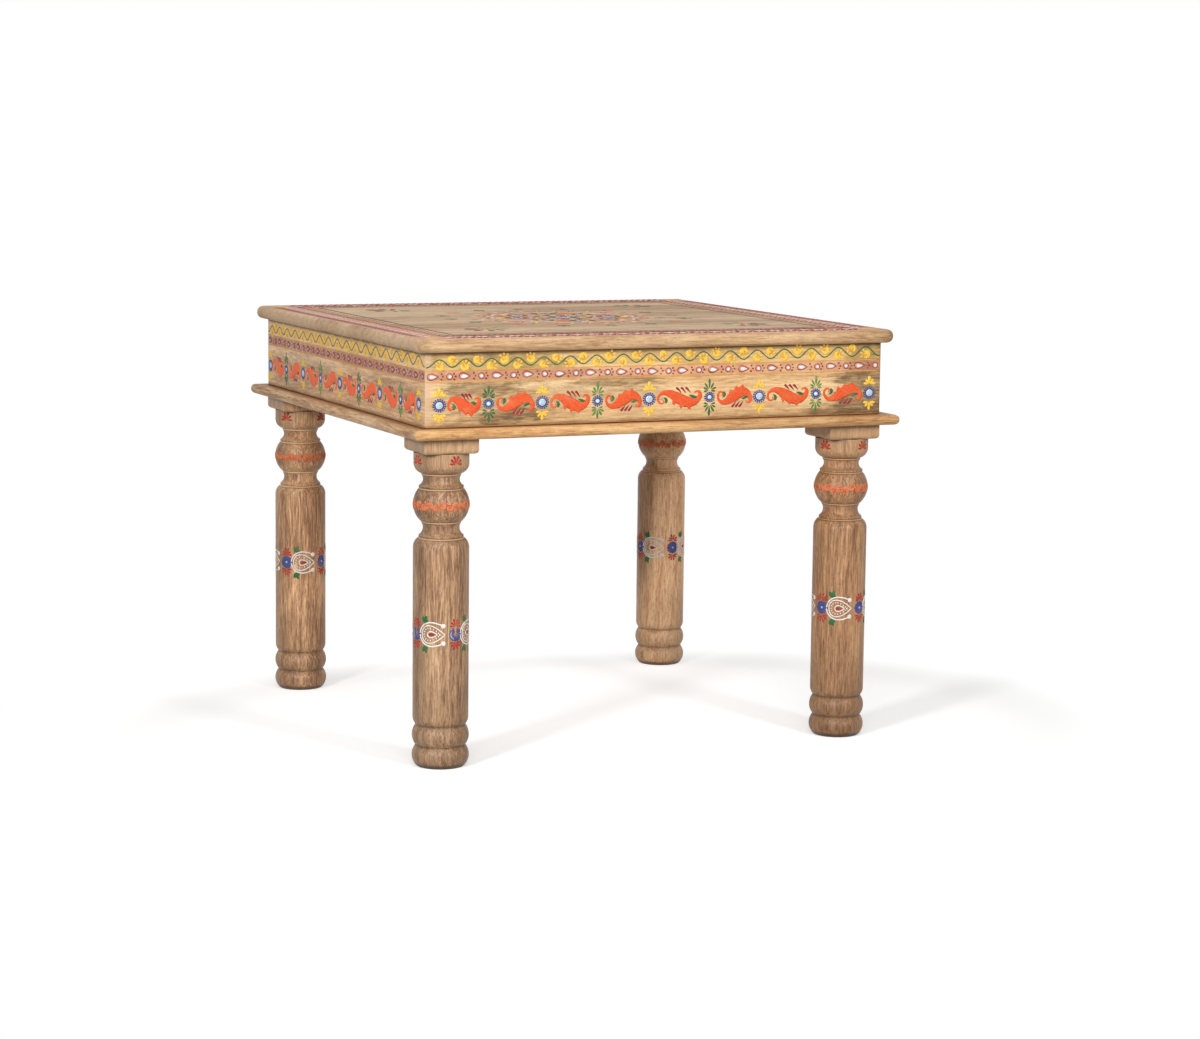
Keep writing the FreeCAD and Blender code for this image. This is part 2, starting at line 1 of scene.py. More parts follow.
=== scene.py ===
import bisect
import random
from functools import partialmethod
from math import atan2, cos, hypot, pi, radians, sin, sqrt, tau

import bpy
from mathutils import Matrix, Vector


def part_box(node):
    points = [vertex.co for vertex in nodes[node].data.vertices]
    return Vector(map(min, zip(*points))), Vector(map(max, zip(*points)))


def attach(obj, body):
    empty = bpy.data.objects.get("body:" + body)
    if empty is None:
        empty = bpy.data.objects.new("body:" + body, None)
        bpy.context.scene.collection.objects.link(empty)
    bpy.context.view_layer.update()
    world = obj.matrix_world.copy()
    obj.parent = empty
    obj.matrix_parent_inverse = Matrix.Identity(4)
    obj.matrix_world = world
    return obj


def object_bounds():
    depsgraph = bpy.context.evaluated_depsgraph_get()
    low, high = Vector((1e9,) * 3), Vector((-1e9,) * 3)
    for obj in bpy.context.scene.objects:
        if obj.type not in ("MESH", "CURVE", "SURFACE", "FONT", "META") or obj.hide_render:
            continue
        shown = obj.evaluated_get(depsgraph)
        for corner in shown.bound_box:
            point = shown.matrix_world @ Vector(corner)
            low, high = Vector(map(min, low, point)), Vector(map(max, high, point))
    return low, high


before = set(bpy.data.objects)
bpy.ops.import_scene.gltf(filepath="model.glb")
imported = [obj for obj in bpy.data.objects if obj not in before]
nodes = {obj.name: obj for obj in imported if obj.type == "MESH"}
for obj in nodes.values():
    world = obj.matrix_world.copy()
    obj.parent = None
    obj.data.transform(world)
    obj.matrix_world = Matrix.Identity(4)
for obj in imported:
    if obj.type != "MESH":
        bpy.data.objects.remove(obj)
cad_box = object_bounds()
scene = bpy.context.scene

# Ornament is laid out in millimetres and placed in metres
MM = 0.001
SIDES = ("front", "right", "back", "left")
CORNERS = ("front_left", "front_right", "back_right", "back_left")

apron_low, apron_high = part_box("apron_front")
APRON_FACE = -apron_low.y
APRON_TOP = apron_high.z
APRON_FOOT = apron_low.z
APRON_LENGTH = (apron_high.x - apron_low.x) / MM
APRON_HEIGHT = (APRON_TOP - APRON_FOOT) / MM
# The apron ornament is laid out on a board of this size and drawn to fit the real one
LAYOUT_LENGTH = 520.0
LAYOUT_HEIGHT = 82.0
TOP_LEVEL = cad_box[1].z
LEG_BLOCK_HEIGHT = 16.0
LEG_BLOCK_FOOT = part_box("base_rail_front")[0].z - LEG_BLOCK_HEIGHT * MM
TOP_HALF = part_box("top_board_1")[1].x
TOP_HALF_MM = TOP_HALF / MM
BOARD_COUNT = 5


def linear(colour):
    """Screen values from 0 to 255, as the linear values that a shader takes."""
    shares = [value / 255 for value in colour]
    return tuple(s / 12.92 if s <= 0.04045 else ((s + 0.055) / 1.055) ** 2.4 for s in shares) + (1.0,)


def toned(colour, factor):
    """A colour made darker or lighter."""
    return tuple(min(255, value * factor) for value in colour)


def tinted(tones, shares):
    """Tones with a share of their red, green and blue."""
    return [tuple(min(255, value * share) for value, share in zip(tone, shares)) for tone in tones]


def along(axis, share):
    """A scale that draws a pattern out along one axis."""
    scale = [1.0, 1.0, 1.0]
    scale[axis] = share
    return scale


class Graph:
    """The nodes of one material or world, made and linked by short calls."""

    def __init__(self, owner):
        self.owner = owner
        owner.use_nodes = True
        self.tree = owner.node_tree
        self.tree.nodes.clear()
        self.coords = self.make("TexCoord").outputs["Object"]

    def make(self, kind, **settings):
        node = self.tree.nodes.new("ShaderNode" + kind)
        for name, value in settings.items():
            setattr(node, name, value)
        return node

    def put(self, socket, value):
        if isinstance(value, bpy.types.NodeSocket):
            self.tree.links.new(value, socket)
        else:
            socket.default_value = value

    def feed(self, node, *in_order, **by_name):
        """Fills a node's inputs, in their order or by name."""
        for place, value in enumerate(in_order):
            self.put(node.inputs[place], value)
        for name, value in by_name.items():
            self.put(node.inputs[name.replace("_", " ")], value)
        return node

    def math(self, operation, first, second=0.0):
        return self.feed(self.make("Math", operation=operation), first, second).outputs[0]

    times = partialmethod(math, "MULTIPLY")
    plus = partialmethod(math, "ADD")
    less = partialmethod(math, "SUBTRACT")
    most = partialmethod(math, "MAXIMUM")

    def vector(self, operation, output, *in_order):
        return self.feed(self.make("VectorMath", operation=operation), *in_order).outputs[output]

    def mix(self, share, first, second, blend="MIX"):
        """Two colours mixed; three screen values become linear ones."""
        node = self.make("Mix", data_type="RGBA", blend_type=blend)
        for place, value in ((0, share), (6, first), (7, second)):
            on_screen = isinstance(value, tuple) and len(value) == 3
            self.put(node.inputs[place], linear(value) if on_screen else value)
        return node.outputs[2]

    # Darkens a colour by a tone, for stains and for painted shade alike
    def darken(self, share, colour, tone):
        return self.mix(share, colour, tone, "MULTIPLY")

    def stretch(self, scale, shift, vector=None):
        node = self.make("Mapping")
        return self.feed(node, Vector=vector or self.coords, Scale=scale, Location=shift).outputs[0]

    def noise_node(self, settings, shift, axis=0, vector=None):
        scale, detail, roughness, share = settings
        stretched = self.stretch(along(axis, share), shift, vector)
        node = self.make("TexNoise")
        return self.feed(node, Vector=stretched, Scale=scale, Detail=detail, Roughness=roughness)

    def noise(self, settings, shift, axis=0, vector=None):
        return self.noise_node(settings, shift, axis, vector).outputs[0]

    def map(self, value, low, high, to_low=0.0, to_high=1.0):
        node = self.make("MapRange", interpolation_type="SMOOTHSTEP")
        self.feed(node, Value=value, From_Min=low, From_Max=high, To_Min=to_low, To_Max=to_high)
        return node.outputs[0]

    def band(self, value, low, high, soft):
        """One between low and high, nothing outside, with soft ends."""
        start = self.map(value, low - soft, low + soft)
        return self.less(start, self.map(value, high - soft, high + soft))

    def ramp(self, value, stops):
        node = self.make("ValToRGB")
        elements = node.color_ramp.elements
        elements[0].position, elements[-1].position = stops[0][0], stops[-1][0]
        elements[0].color, elements[-1].color = linear(stops[0][1]), linear(stops[-1][1])
        for place, colour in stops[1:-1]:
            elements.new(place).color = linear(colour)
        return self.feed(node, value).outputs[0]

    def split(self, vector=None):
        """The three parts of a vector, or else of the object's coordinates."""
        return self.feed(self.make("SeparateXYZ"), vector or self.coords).outputs

    def spread(self, parts):
        """How far a point lies from the middle, across and deep."""
        return [self.math("ABSOLUTE", part) for part in parts[:2]]

    def close(self, kind, shader):
        self.feed(self.make(kind), Surface=shader.outputs[0])
        return self.owner

    def surface(self, colour, roughness, height, bump_settings, normal=None, **constants):
        bump_share, bump_depth = bump_settings
        bump = self.feed(self.make("Bump"), Height=height, Strength=bump_share, Distance=bump_depth * MM)
        if normal:
            self.feed(bump, Normal=normal)
        shader = self.make("BsdfPrincipled")
        self.feed(shader, Base_Color=colour, Roughness=roughness, Normal=bump.outputs[0], **constants)
        return self.close("OutputMaterial", shader)


# Noises: scale, detail, roughness, and share of the scale along one axis
SWAY_NOISE = (9.0, 2.0, 0.5, 0.3)
FIGURE_NOISE = (24.0, 2.5, 0.45, 0.08)
BROAD_NOISE = (9.0, 3.0, 0.5, 0.22)
LINE_NOISE = (520.0, 5.0, 0.72, 0.06)
FIBRE_NOISE = (900.0, 4.0, 0.65, 0.06)
STREAK_NOISE = (70.0, 5.0, 0.65, 0.09)
SPECKLE_NOISE = (560.0, 4.0, 0.7, 0.5)
STAIN_NOISE = (60.0, 6.0, 0.7, 0.3)
BROKEN_NOISE = (340.0, 5.0, 0.7, 0.16)
DARKENING_NOISE = (60.0, 5.0, 0.65, 0.3)
APRON_WASH_NOISE = (110.0, 3.0, 0.6, 1.0)
TOP_WASH_NOISE = (90.0, 3.0, 0.6, 1.0)
TURNING_NOISE = (2600.0, 3.0, 0.6, 0.15)
DULL_NOISE = (240.0, 3.0, 0.6, 1.0)
BRUSH_NOISE = (420.0, 4.0, 0.6, 1.0)
CLOUD_NOISE = (70.0, 2.0, 0.5, 1.0)
SPECK_NOISE = (1500.0, 2.0, 0.5, 1.0)
# Flecks of a wood: their noise and their share
PLAIN_FLECKS = ((460.0, 3.0, 0.6, 0.16), 0.2)
RAIL_FLECKS = ((420.0, 3.0, 0.6, 0.12), 0.32)
LEG_FLECKS = ((820.0, 3.0, 0.6, 0.14), 0.34)

# Ranges: two limits of a value, and what they become where that isn't nothing and one
TONE_RANGE = (0.36, 0.64)
SINE_RANGE = (-1.0, 1.0)
FIBRE_RANGE = (0.38, 0.62)
FLECK_RANGE = (0.54, 0.64)
RING_CUT_RANGE = (0.72, 1.0)
RING_PLACE_RANGE = (0.4, 0.6, 0.4, 0.06)
STREAK_RANGE = (0.56, 0.7, 0.0, 0.25)
SPECKLE_RANGE = (0.52, 0.66, 0.0, 0.3)
SAWN_RANGE = (0.55, 0.9, 0.0, 0.6)
RUBBED_RANGE = (0.82, 0.985, 0.3, 0.0)
# Painted shade from ambient occlusion: how open a place is, and the share of shade
OCCLUSION_SHADE_RANGE = (0.5, 0.96, 0.85, 0.0)
WORN_RANGE = (0.3, 0.8)

# Wood: reach of its sway in metres, and shares of each layer
SWAY = (0.02, 0.02, 0.02)
SHIFT_REACH = 5.0
RING_COUNT = 7.0
BROAD_SHARE = 0.3
RING_SHARE = 0.18
FIBRE_SHARE = 0.22
PLAIN_LINE_SHARE = 0.24
FIRM_LINE_SHARE = 0.3
WOOD_STOPS = (0.16, 0.5, 0.82)
SAWN_STOPS = (0.38, 0.5, 0.62)
# How dark ring lines, streaks, flecks and speckle are, as shares of the dark tone
MARK_TONE_SHARES = (0.86, 0.84, 0.7, 0.8)
RUBBED_TONE_SHARE = 0.98
# How dark the painted shade in hollows is
OCCLUSION_SHADE_TONE_SHARE = 0.5
EASED_RADIUS = 1.6
# How far the painted shade in hollows reaches, in millimetres
OCCLUSION_SHADE_REACH = 6.0
FIBRE_HEIGHT_SHARE, FLECK_HEIGHT_SHARE, FLECK_WEAR_SHARE = 0.7, 0.5, 0.2
# Strength of each bump and its depth
WOOD_BUMP = (0.4, 0.5)
STEEL_BUMP = (0.2, 0.1)
PAINT_BUMP = (0.3, 0.3)
# Painted highlights on the turned rings of a leg, down from its block; a painted line of shade lies under
# each
LEG_HIGHLIGHT_RINGS_DOWN = (22.3, 37.0, 71.3, 87.6)
RING_LINE_HEIGHT = 1.1
RING_LINE_SOFT = 0.3
RING_HIGHLIGHT_SHARE = 0.66
RING_SHADE_SHARE = 0.5
RING_SHADE_TONE_SHARE = 0.6


def wood_material(
    name, tones, grain, seed, dress=None, line_share=PLAIN_LINE_SHARE, flecks=PLAIN_FLECKS,
    smooth=0.5, shine=0.28, highlight_rings_down=()
):
    """Waxed wood: figure, lines, flecks, worn edges, painted shade in hollows, and painted highlights over
    painted shade lines on turned rings. Tones run from dark to light.
    """
    graph = Graph(bpy.data.materials.new(name))
    dark, middle, light = tones
    draw = random.Random(seed)
    shift = [draw.uniform(-SHIFT_REACH, SHIFT_REACH) for _ in range(3)]
    sway = graph.noise_node(SWAY_NOISE, shift, grain).outputs[1]
    swayed = graph.vector("MULTIPLY_ADD", "Vector", sway, SWAY, graph.coords)
    # Figure, from broad tone down to single fibres
    figure = graph.noise(FIGURE_NOISE, shift, grain, swayed)
    rings = graph.math("SINE", graph.times(figure, RING_COUNT * tau))
    broad = graph.noise(BROAD_NOISE, shift, grain)
    lines = graph.noise(LINE_NOISE, shift, grain, swayed)
    fibre = graph.noise(FIBRE_NOISE, shift, grain, swayed)
    layers = (
        (broad, TONE_RANGE, BROAD_SHARE),
        (rings, SINE_RANGE, RING_SHARE),
        (lines, TONE_RANGE, line_share),
        (fibre, FIBRE_RANGE, FIBRE_SHARE),
    )
    tone = 0.0
    for value, limits, share in layers:
        tone = graph.plus(tone, graph.times(graph.map(value, *limits), share))
    tone = graph.math("DIVIDE", tone, sum(layer[2] for layer in layers))
    colour = graph.ramp(tone, list(zip(WOOD_STOPS, tones)))
    # Dark marks: lines where a ring is cut, in places only, then streaks, flecks and speckle
    fleck_noise, fleck_share = flecks
    fleck = graph.map(graph.noise(fleck_noise, shift, grain, swayed), *FLECK_RANGE)
    speckle = graph.noise(SPECKLE_NOISE, shift, grain)
    marks = (
        graph.times(graph.map(rings, *RING_CUT_RANGE), graph.map(broad, *RING_PLACE_RANGE)),
        graph.map(graph.noise(STREAK_NOISE, shift, grain, swayed), *STREAK_RANGE),
        graph.times(fleck, fleck_share),
        graph.map(speckle, *SPECKLE_RANGE),
    )
    for mark, tone_share in zip(marks, MARK_TONE_SHARES):
        colour = graph.mix(mark, colour, toned(dark, tone_share))
    # Sawn ends are a little darker and speckled
    plain_normal = graph.make("NewGeometry").outputs["Normal"]
    sawn = graph.map(graph.math("ABSOLUTE", graph.split(plain_normal)[grain]), *SAWN_RANGE)
    sawn_tones = (toned(dark, 0.96), toned(middle, 0.92), middle)
    colour = graph.mix(sawn, colour, graph.ramp(speckle, list(zip(SAWN_STOPS, sawn_tones))))
    if dress:
        colour = dress(graph, colour, shift)
    # Edges are eased and rubbed lighter, and painted shade darkens hollows and the places where pieces meet
    eased = graph.feed(graph.make("Bevel", samples=6), Radius=EASED_RADIUS * MM).outputs[0]
    turned = graph.vector("DOT_PRODUCT", "Value", eased, plain_normal)
    colour = graph.mix(graph.map(turned, *RUBBED_RANGE), colour, toned(light, RUBBED_TONE_SHARE))
    # Painted shade: darker where ambient occlusion finds a hollow or a meeting of pieces
    hollow = graph.feed(graph.make("AmbientOcclusion", samples=8), Distance=OCCLUSION_SHADE_REACH * MM)
    shade = graph.map(hollow.outputs["AO"], *OCCLUSION_SHADE_RANGE)
    colour = graph.mix(shade, colour, toned(dark, OCCLUSION_SHADE_TONE_SHARE))
    # Painted highlights on small turned rings, each over a painted line of shade
    line_height = RING_LINE_HEIGHT * MM
    highlight_and_shade_lines = (
        (0.4, 1.4, RING_SHADE_SHARE, toned(dark, RING_SHADE_TONE_SHARE)),
        (-0.5, 0.5, RING_HIGHLIGHT_SHARE, light),
    )
    for down in highlight_rings_down:
        level = graph.less(LEG_BLOCK_FOOT - down * MM, graph.split()[2])
        for start, end, share, line_tone in highlight_and_shade_lines:
            line = graph.band(level, start * line_height, end * line_height, RING_LINE_SOFT * MM)
            colour = graph.mix(graph.times(line, share), colour, line_tone)
    fibre_height = graph.times(fibre, FIBRE_HEIGHT_SHARE)
    height = graph.less(fibre_height, graph.times(fleck, FLECK_HEIGHT_SHARE))
    worn = graph.plus(fibre, graph.times(fleck, FLECK_WEAR_SHARE))
    roughness = graph.map(worn, *WORN_RANGE, smooth - 0.06, smooth + 0.14)
    return graph.surface(colour, roughness, height, WOOD_BUMP, eased, Specular_IOR_Level=shine)


def steel_material(name, colour, seed):
    """Plated steel with fine turning marks and a little dulling."""
    graph = Graph(bpy.data.materials.new(name))
    shift = (seed, seed * 0.7, -seed)
    fine = graph.noise(TURNING_NOISE, shift, 2)
    dull = graph.noise(DULL_NOISE, shift)
    tint = graph.mix(graph.map(dull, 0.35, 0.7), colour, toned(colour, 0.7))
    tint = graph.mix(graph.map(fine, 0.3, 0.8, 0.0, 0.3), tint, toned(colour, 0.5))
    roughness = graph.map(dull, 0.3, 0.7, 0.26, 0.48)
    return graph.surface(tint, roughness, fine, STEEL_BUMP, Metallic=1.0)


def paint_material(name, colour, under, seed):
    """Brushed opaque paint: streaks of tone, thin places and a few specks that show what is under it."""
    graph = Graph(bpy.data.materials.new(name))
    shift = (seed * 1.7, -seed, seed * 0.6)
    brush, cloud, speck = (graph.noise(noise, shift) for noise in (BRUSH_NOISE, CLOUD_NOISE, SPECK_NOISE))
    tint = graph.mix(graph.map(brush, 0.32, 0.68), toned(colour, 0.91), toned(colour, 1.04))
    tint = graph.mix(graph.map(cloud, 0.45, 0.75, 0.0, 0.14), tint, under)
    tint = graph.mix(graph.map(speck, 0.66, 0.74, 0.0, 0.25), tint, toned(under, 0.9))
    roughness = graph.map(brush, 0.3, 0.7, 0.48, 0.64)
    return graph.surface(tint, roughness, brush, PAINT_BUMP, Specular_IOR_Level=0.2)


# Wood of each group, dark, middle and light
APRON_TONES = ((184, 140, 92), (228, 188, 136), (244, 211, 162))
RAIL_TONES = ((138, 88, 46), (202, 150, 96), (226, 182, 128))
LEG_TONES = ((118, 84, 58), (186, 145, 108), (216, 180, 141))
TOP_TONES = ((168, 132, 99), (224, 190, 153), (243, 214, 178))
INNER_TONES = ((166, 130, 92), (206, 172, 128), (226, 198, 156))
# Pale tone of a leg's block, partly its own wood and partly painted light; it also paints light onto the
# disc under the block
LEG_BLOCK_PALE_AND_LIT_TONE = (216, 178, 132)
BARE_STRIP = (208, 174, 140)
# How much of red, green and blue single pieces keep
PLAIN_TINT = (1.0, 1.0, 1.0)
LEFT_APRON_TINT = (1.03, 1.03, 1.1)
LEFT_RAIL_TINT = (1.03, 1.11, 1.27)
# The back legs' lighter tints are painted light, standing in for light that the table's shade takes from
# them
LEG_TINTS_AND_LIGHT = {
    "front_left": (1.02, 1.02, 1.02),
    "front_right": (0.96, 0.91, 0.85),
    "back_right": (1.22, 1.17, 1.15),
    "back_left": (1.21, 1.2, 1.19),
}
# The side of each leg that gets painted shade: left is negative
SHADED_SIDE_SENSES = {"front_left": -1.0, "front_right": 1.0, "back_right": -1.0, "back_left": -1.0}
# Stains and painted shade darken what is under them, so these are full white less what they take away
STAIN_AND_SHADE = (136, 128, 116)
FOOT_AND_SHADE_TONE = (158, 154, 150)
TOP_EDGE_STAIN = (233, 225, 211)
# Tone of the painted shadow where the apron stands on the rail
JOINT_SHADOW_TONE = (124, 76, 40)
STEEL_TONE = (176, 178, 180)
SCREW_TONE = (188, 172, 128)
# Bands of the apron: where each starts and ends, down from the top, and its soft edge
YELLOW_BAND = (1.5, 18.6, 0.8)
BEAD_BAND = (19.6, 32.3, 0.5)
# Washes: their tone, and the range of noise that gives their share; the left board's is darker
YELLOW_WASH = ((218, 180, 98), (0.34, 0.66, 0.1, 0.45))
BEAD_WASH = ((202, 130, 106), (0.3, 0.7, 0.25, 0.65))
LEFT_BEAD_WASH = ((158, 98, 84), (0.3, 0.7, 0.45, 0.8))
BORDER_WASH = ((216, 152, 130), (0.3, 0.7, 0.4, 0.75))
MEDALLION_WASH = ((164, 116, 92), (0.3, 0.7, 0.4, 1.0))
# Painted shade: its share towards the foot of an apron board, where it starts, and its range under the top's
# overhang
FOOT_SHADE_SHARE = 0.25
LEFT_FOOT_SHADE_SHARE = 0.05
FOOT_SHADE_START = 56.0
TOP_SHADE_RANGE = (0.5, 8.0, 0.65, 0.0)
STRIP_RANGE = (5.0, 8.5)
FRONT_STRIP_SHARE = 0.62
STRIP_SHARE = 0.3
# How far the two noises push a stain's edge about, and where the stain starts to fade
ROUGH_REACH, BROKEN_REACH = 3.6, 3.2
STAIN_FADE = (0.5, 2.0)
BROKEN_RANGE = (0.38, 0.62, 1.0, 0.6)

# Places of the dark stains on each apron board: centre along, centre down, half length, half height, share
STAINS = {
    "front": (
        (72, 55, 62, 25, 0.62), (62, 41, 44, 8, 0.9), (90, 71, 36, 9, 0.95),
        (136, 50, 44, 14, 0.45), (515, 56, 38, 40, 1), (502, 70, 44, 16, 1),
        (500, 40, 34, 8, 1), (521, 58, 15, 60, 1), (514, 26, 20, 16, 0.9),
        (474, 77, 34, 6, 0.9), (212, 37, 52, 6, 0.8), (84, 11, 78, 11, 0.8),
        (92, 26, 90, 9, 0.7), (226, 52, 34, 14, 0.5), (240, 8, 90, 8, 0.35),
        (506, 16, 24, 16, 0.7),
    ),
    "right": ((150, 60, 70, 20, 0.6), (430, 40, 60, 14, 0.5)),
    "back": ((300, 58, 90, 22, 0.6), (40, 44, 36, 30, 0.55)),
    "left": ((120, 48, 110, 12, 0.5), (420, 46, 70, 8, 0.45), (90, 66, 70, 12, 0.5)),
}


def apron_dress(side):
    """Stains, painted shade under the top and towards the foot, and thin washes of one apron board, which
    let the grain show through.
    """
    axis = 0 if side in ("front", "back") else 1
    sense = 1.0 if side in ("front", "right") else -1.0
    bead_wash = LEFT_BEAD_WASH if side == "left" else BEAD_WASH
    foot_share = LEFT_FOOT_SHADE_SHARE if side == "left" else FOOT_SHADE_SHARE
    strip_share = FRONT_STRIP_SHARE if side == "front" else STRIP_SHARE

    def dress(graph, colour, shift):
        parts = graph.split()
        outside = graph.map(graph.most(*graph.spread(parts)), APRON_FACE - 1.5 * MM, APRON_FACE - 0.5 * MM)
        place = graph.times(parts[axis], sense / MM * LAYOUT_LENGTH / APRON_LENGTH)
        place = graph.plus(place, LAYOUT_LENGTH / 2)
        down = graph.times(graph.less(APRON_TOP, parts[2]), LAYOUT_HEIGHT / APRON_HEIGHT / MM)
        rough = graph.noise(STAIN_NOISE, shift, axis)
        broken = graph.noise(BROKEN_NOISE, shift, axis)
        ragged = graph.times(graph.less(rough, 0.5), ROUGH_REACH)
        ragged = graph.plus(ragged, graph.times(graph.less(broken, 0.5), BROKEN_REACH))
        cover = 0.0
        for centre, middle, half_length, half_height, share in STAINS[side]:
            flat = graph.math("DIVIDE", graph.less(place, centre), half_length)
            tall = graph.math("DIVIDE", graph.less(down, middle), half_height)
            far = graph.plus(graph.times(flat, flat), graph.times(tall, tall))
            cover = graph.most(cover, graph.map(graph.plus(far, ragged), *STAIN_FADE, share, 0.0))
        cover = graph.times(cover, graph.map(broken, *BROKEN_RANGE))
        foot_shade = graph.map(down, FOOT_SHADE_START, LAYOUT_HEIGHT, 0.0, foot_share)
        # Stains, then painted shade towards the foot and under the top
        for share in (cover, foot_shade, graph.map(down, *TOP_SHADE_RANGE)):
            colour = graph.darken(share, colour, STAIN_AND_SHADE)
        thin = graph.noise(APRON_WASH_NOISE, shift)
        for band, (tone, limits) in ((YELLOW_BAND, YELLOW_WASH), (BEAD_BAND, bead_wash)):
            wash = graph.times(graph.band(down, *band), graph.map(thin, *limits))
            colour = graph.mix(graph.times(wash, outside), colour, tone)
        strip = graph.map(place, *STRIP_RANGE, strip_share, 0.0)
        return graph.mix(graph.times(strip, outside), colour, BARE_STRIP)

    return dress


# The rail darkens to the right, from one place to another in metres
RAIL_END_RANGE = (-0.02, 0.08, 0.0, 0.24)
# Share of the painted shadow along the apron's foot on the rail
JOINT_SHADOW_SHARE = 0.75


def rail_dress(graph, colour, shift):
    """A darker right end, and a painted shadow along the line where the apron stands on the rail."""
    parts = graph.split()
    reach = graph.most(*graph.spread(parts))
    colour = graph.darken(graph.map(parts[0], *RAIL_END_RANGE), colour, STAIN_AND_SHADE)
    # Painted shadow on the rail's top, along the apron's foot
    near = graph.map(reach, APRON_FACE + 3.0 * MM, APRON_FACE + 11.0 * MM, JOINT_SHADOW_SHARE, 0.0)
    upper = graph.map(parts[2], APRON_FOOT - 1.0 * MM, APRON_FOOT - 0.2 * MM)
    return graph.mix(graph.times(near, upper), colour, JOINT_SHADOW_TONE)


# A leg's painted shade by the way a face turns, its dark foot by height in metres, and the noise that breaks
# the darkening up
SHADED_SIDE_RANGE = (0.5, 0.98, 0.0, 0.8)
LOW_RANGE = (0.02, 0.14, 0.75, 0.0)
DARKENING_RANGE = (0.35, 0.65, 0.55, 1.0)
# Shares of that pale tone: on the block, partly its own wood and partly painted light, and on the disc under
# it as painted light
BLOCK_PALE_AND_LIT_SHARE = 0.36
DISC_PAINTED_LIGHT_SHARE = 0.22


def leg_dress(shaded_sense):
    """A leg is darker at its foot, and painted shade darkens one side of it; the block at its head is paler,
    partly as its own wood and partly as painted light, and the disc under the block is painted lighter as
    painted light.
    """

    def dress(graph, colour, shift):
        height = graph.split()[2]
        facing = graph.split(graph.make("NewGeometry").outputs["Normal"])[0]
        # Painted shade on one side of the leg, by the way a face turns; it joins the darker foot
        shaded_side = graph.map(graph.times(facing, shaded_sense), *SHADED_SIDE_RANGE)
        low = graph.most(graph.map(height, *LOW_RANGE), shaded_side)
        low = graph.times(low, graph.map(graph.noise(DARKENING_NOISE, shift, 2), *DARKENING_RANGE))
        colour = graph.darken(low, colour, FOOT_AND_SHADE_TONE)
        # The block is painted paler, partly as its own wood and partly as painted light; the disc under it
        # is painted lighter, as painted light
        block = graph.map(height, LEG_BLOCK_FOOT - 0.5 * MM, LEG_BLOCK_FOOT + 0.5 * MM, 0.0, BLOCK_PALE_AND_LIT_SHARE)
        disc = graph.map(height, LEG_BLOCK_FOOT - 22.0 * MM, LEG_BLOCK_FOOT - 12.0 * MM, 0.0, DISC_PAINTED_LIGHT_SHARE)
        return graph.mix(graph.most(block, disc), colour, LEG_BLOCK_PALE_AND_LIT_TONE)

    return dress


# Border of the top, from the edge inwards
BORDER_START = 7.5
BORDER_END = 46.0
BORDER_SOFT = 0.7
FRAME_LINE = 58.0
MEDALLION_RADIUS = 104.0
MEDALLION_SHARE = 0.95
# Where the top's rounded edge and the painted shade on its corners start and end, in from the edge
EDGE_START, EDGE_END = TOP_HALF - 7.0 * MM, TOP_HALF - 3.0 * MM
CORNER_START, CORNER_END = TOP_HALF - 18.0 * MM, TOP_HALF - 6.0 * MM
CORNER_SHADE_SHARE = 0.3
END_EDGE_SHARE = 0.14
HEART_WASH_SHARE = 0.4


def top_dress(graph, colour, shift):
    """Warmer long edges, painted shade on the corners, and the thin red washes on the upper face."""
    parts = graph.split()
    across, deep = graph.spread(parts)
    long_edge = graph.map(deep, EDGE_START, EDGE_END)
    colour = graph.darken(long_edge, colour, TOP_EDGE_STAIN)
    # Painted shade on the rounded corners of the top
    corner_shade = graph.map(across, CORNER_START, CORNER_END, 0.0, CORNER_SHADE_SHARE)
    colour = graph.darken(graph.times(long_edge, corner_shade), colour, STAIN_AND_SHADE)
    end_edge = graph.map(across, EDGE_START, EDGE_END, 0.0, END_EDGE_SHARE)
    colour = graph.darken(end_edge, colour, STAIN_AND_SHADE)
    inward = graph.times(graph.less(TOP_HALF, graph.most(across, deep)), 1 / MM)
    upper = graph.map(parts[2], TOP_LEVEL - 2.0 * MM, TOP_LEVEL - 1.0 * MM)
    thin = graph.noise(TOP_WASH_NOISE, shift)
    border = graph.band(inward, BORDER_START, BORDER_END, BORDER_SOFT)
    flat_place = graph.feed(graph.make("CombineXYZ"), X=parts[0], Y=parts[1]).outputs[0]
    far = graph.vector("LENGTH", "Value", flat_place)
    radius = MEDALLION_RADIUS * MM
    heart = graph.map(far, 0.8 * radius, 0.95 * radius, HEART_WASH_SHARE, 0.0)
    for area, (tone, limits) in ((border, BORDER_WASH), (heart, MEDALLION_WASH)):
        wash = graph.times(graph.times(area, upper), graph.map(thin, *limits))
        colour = graph.mix(wash, colour, tone)
    return colour


def set_material(name, material):
    nodes[name].data.materials.clear()
    nodes[name].data.materials.append(material)


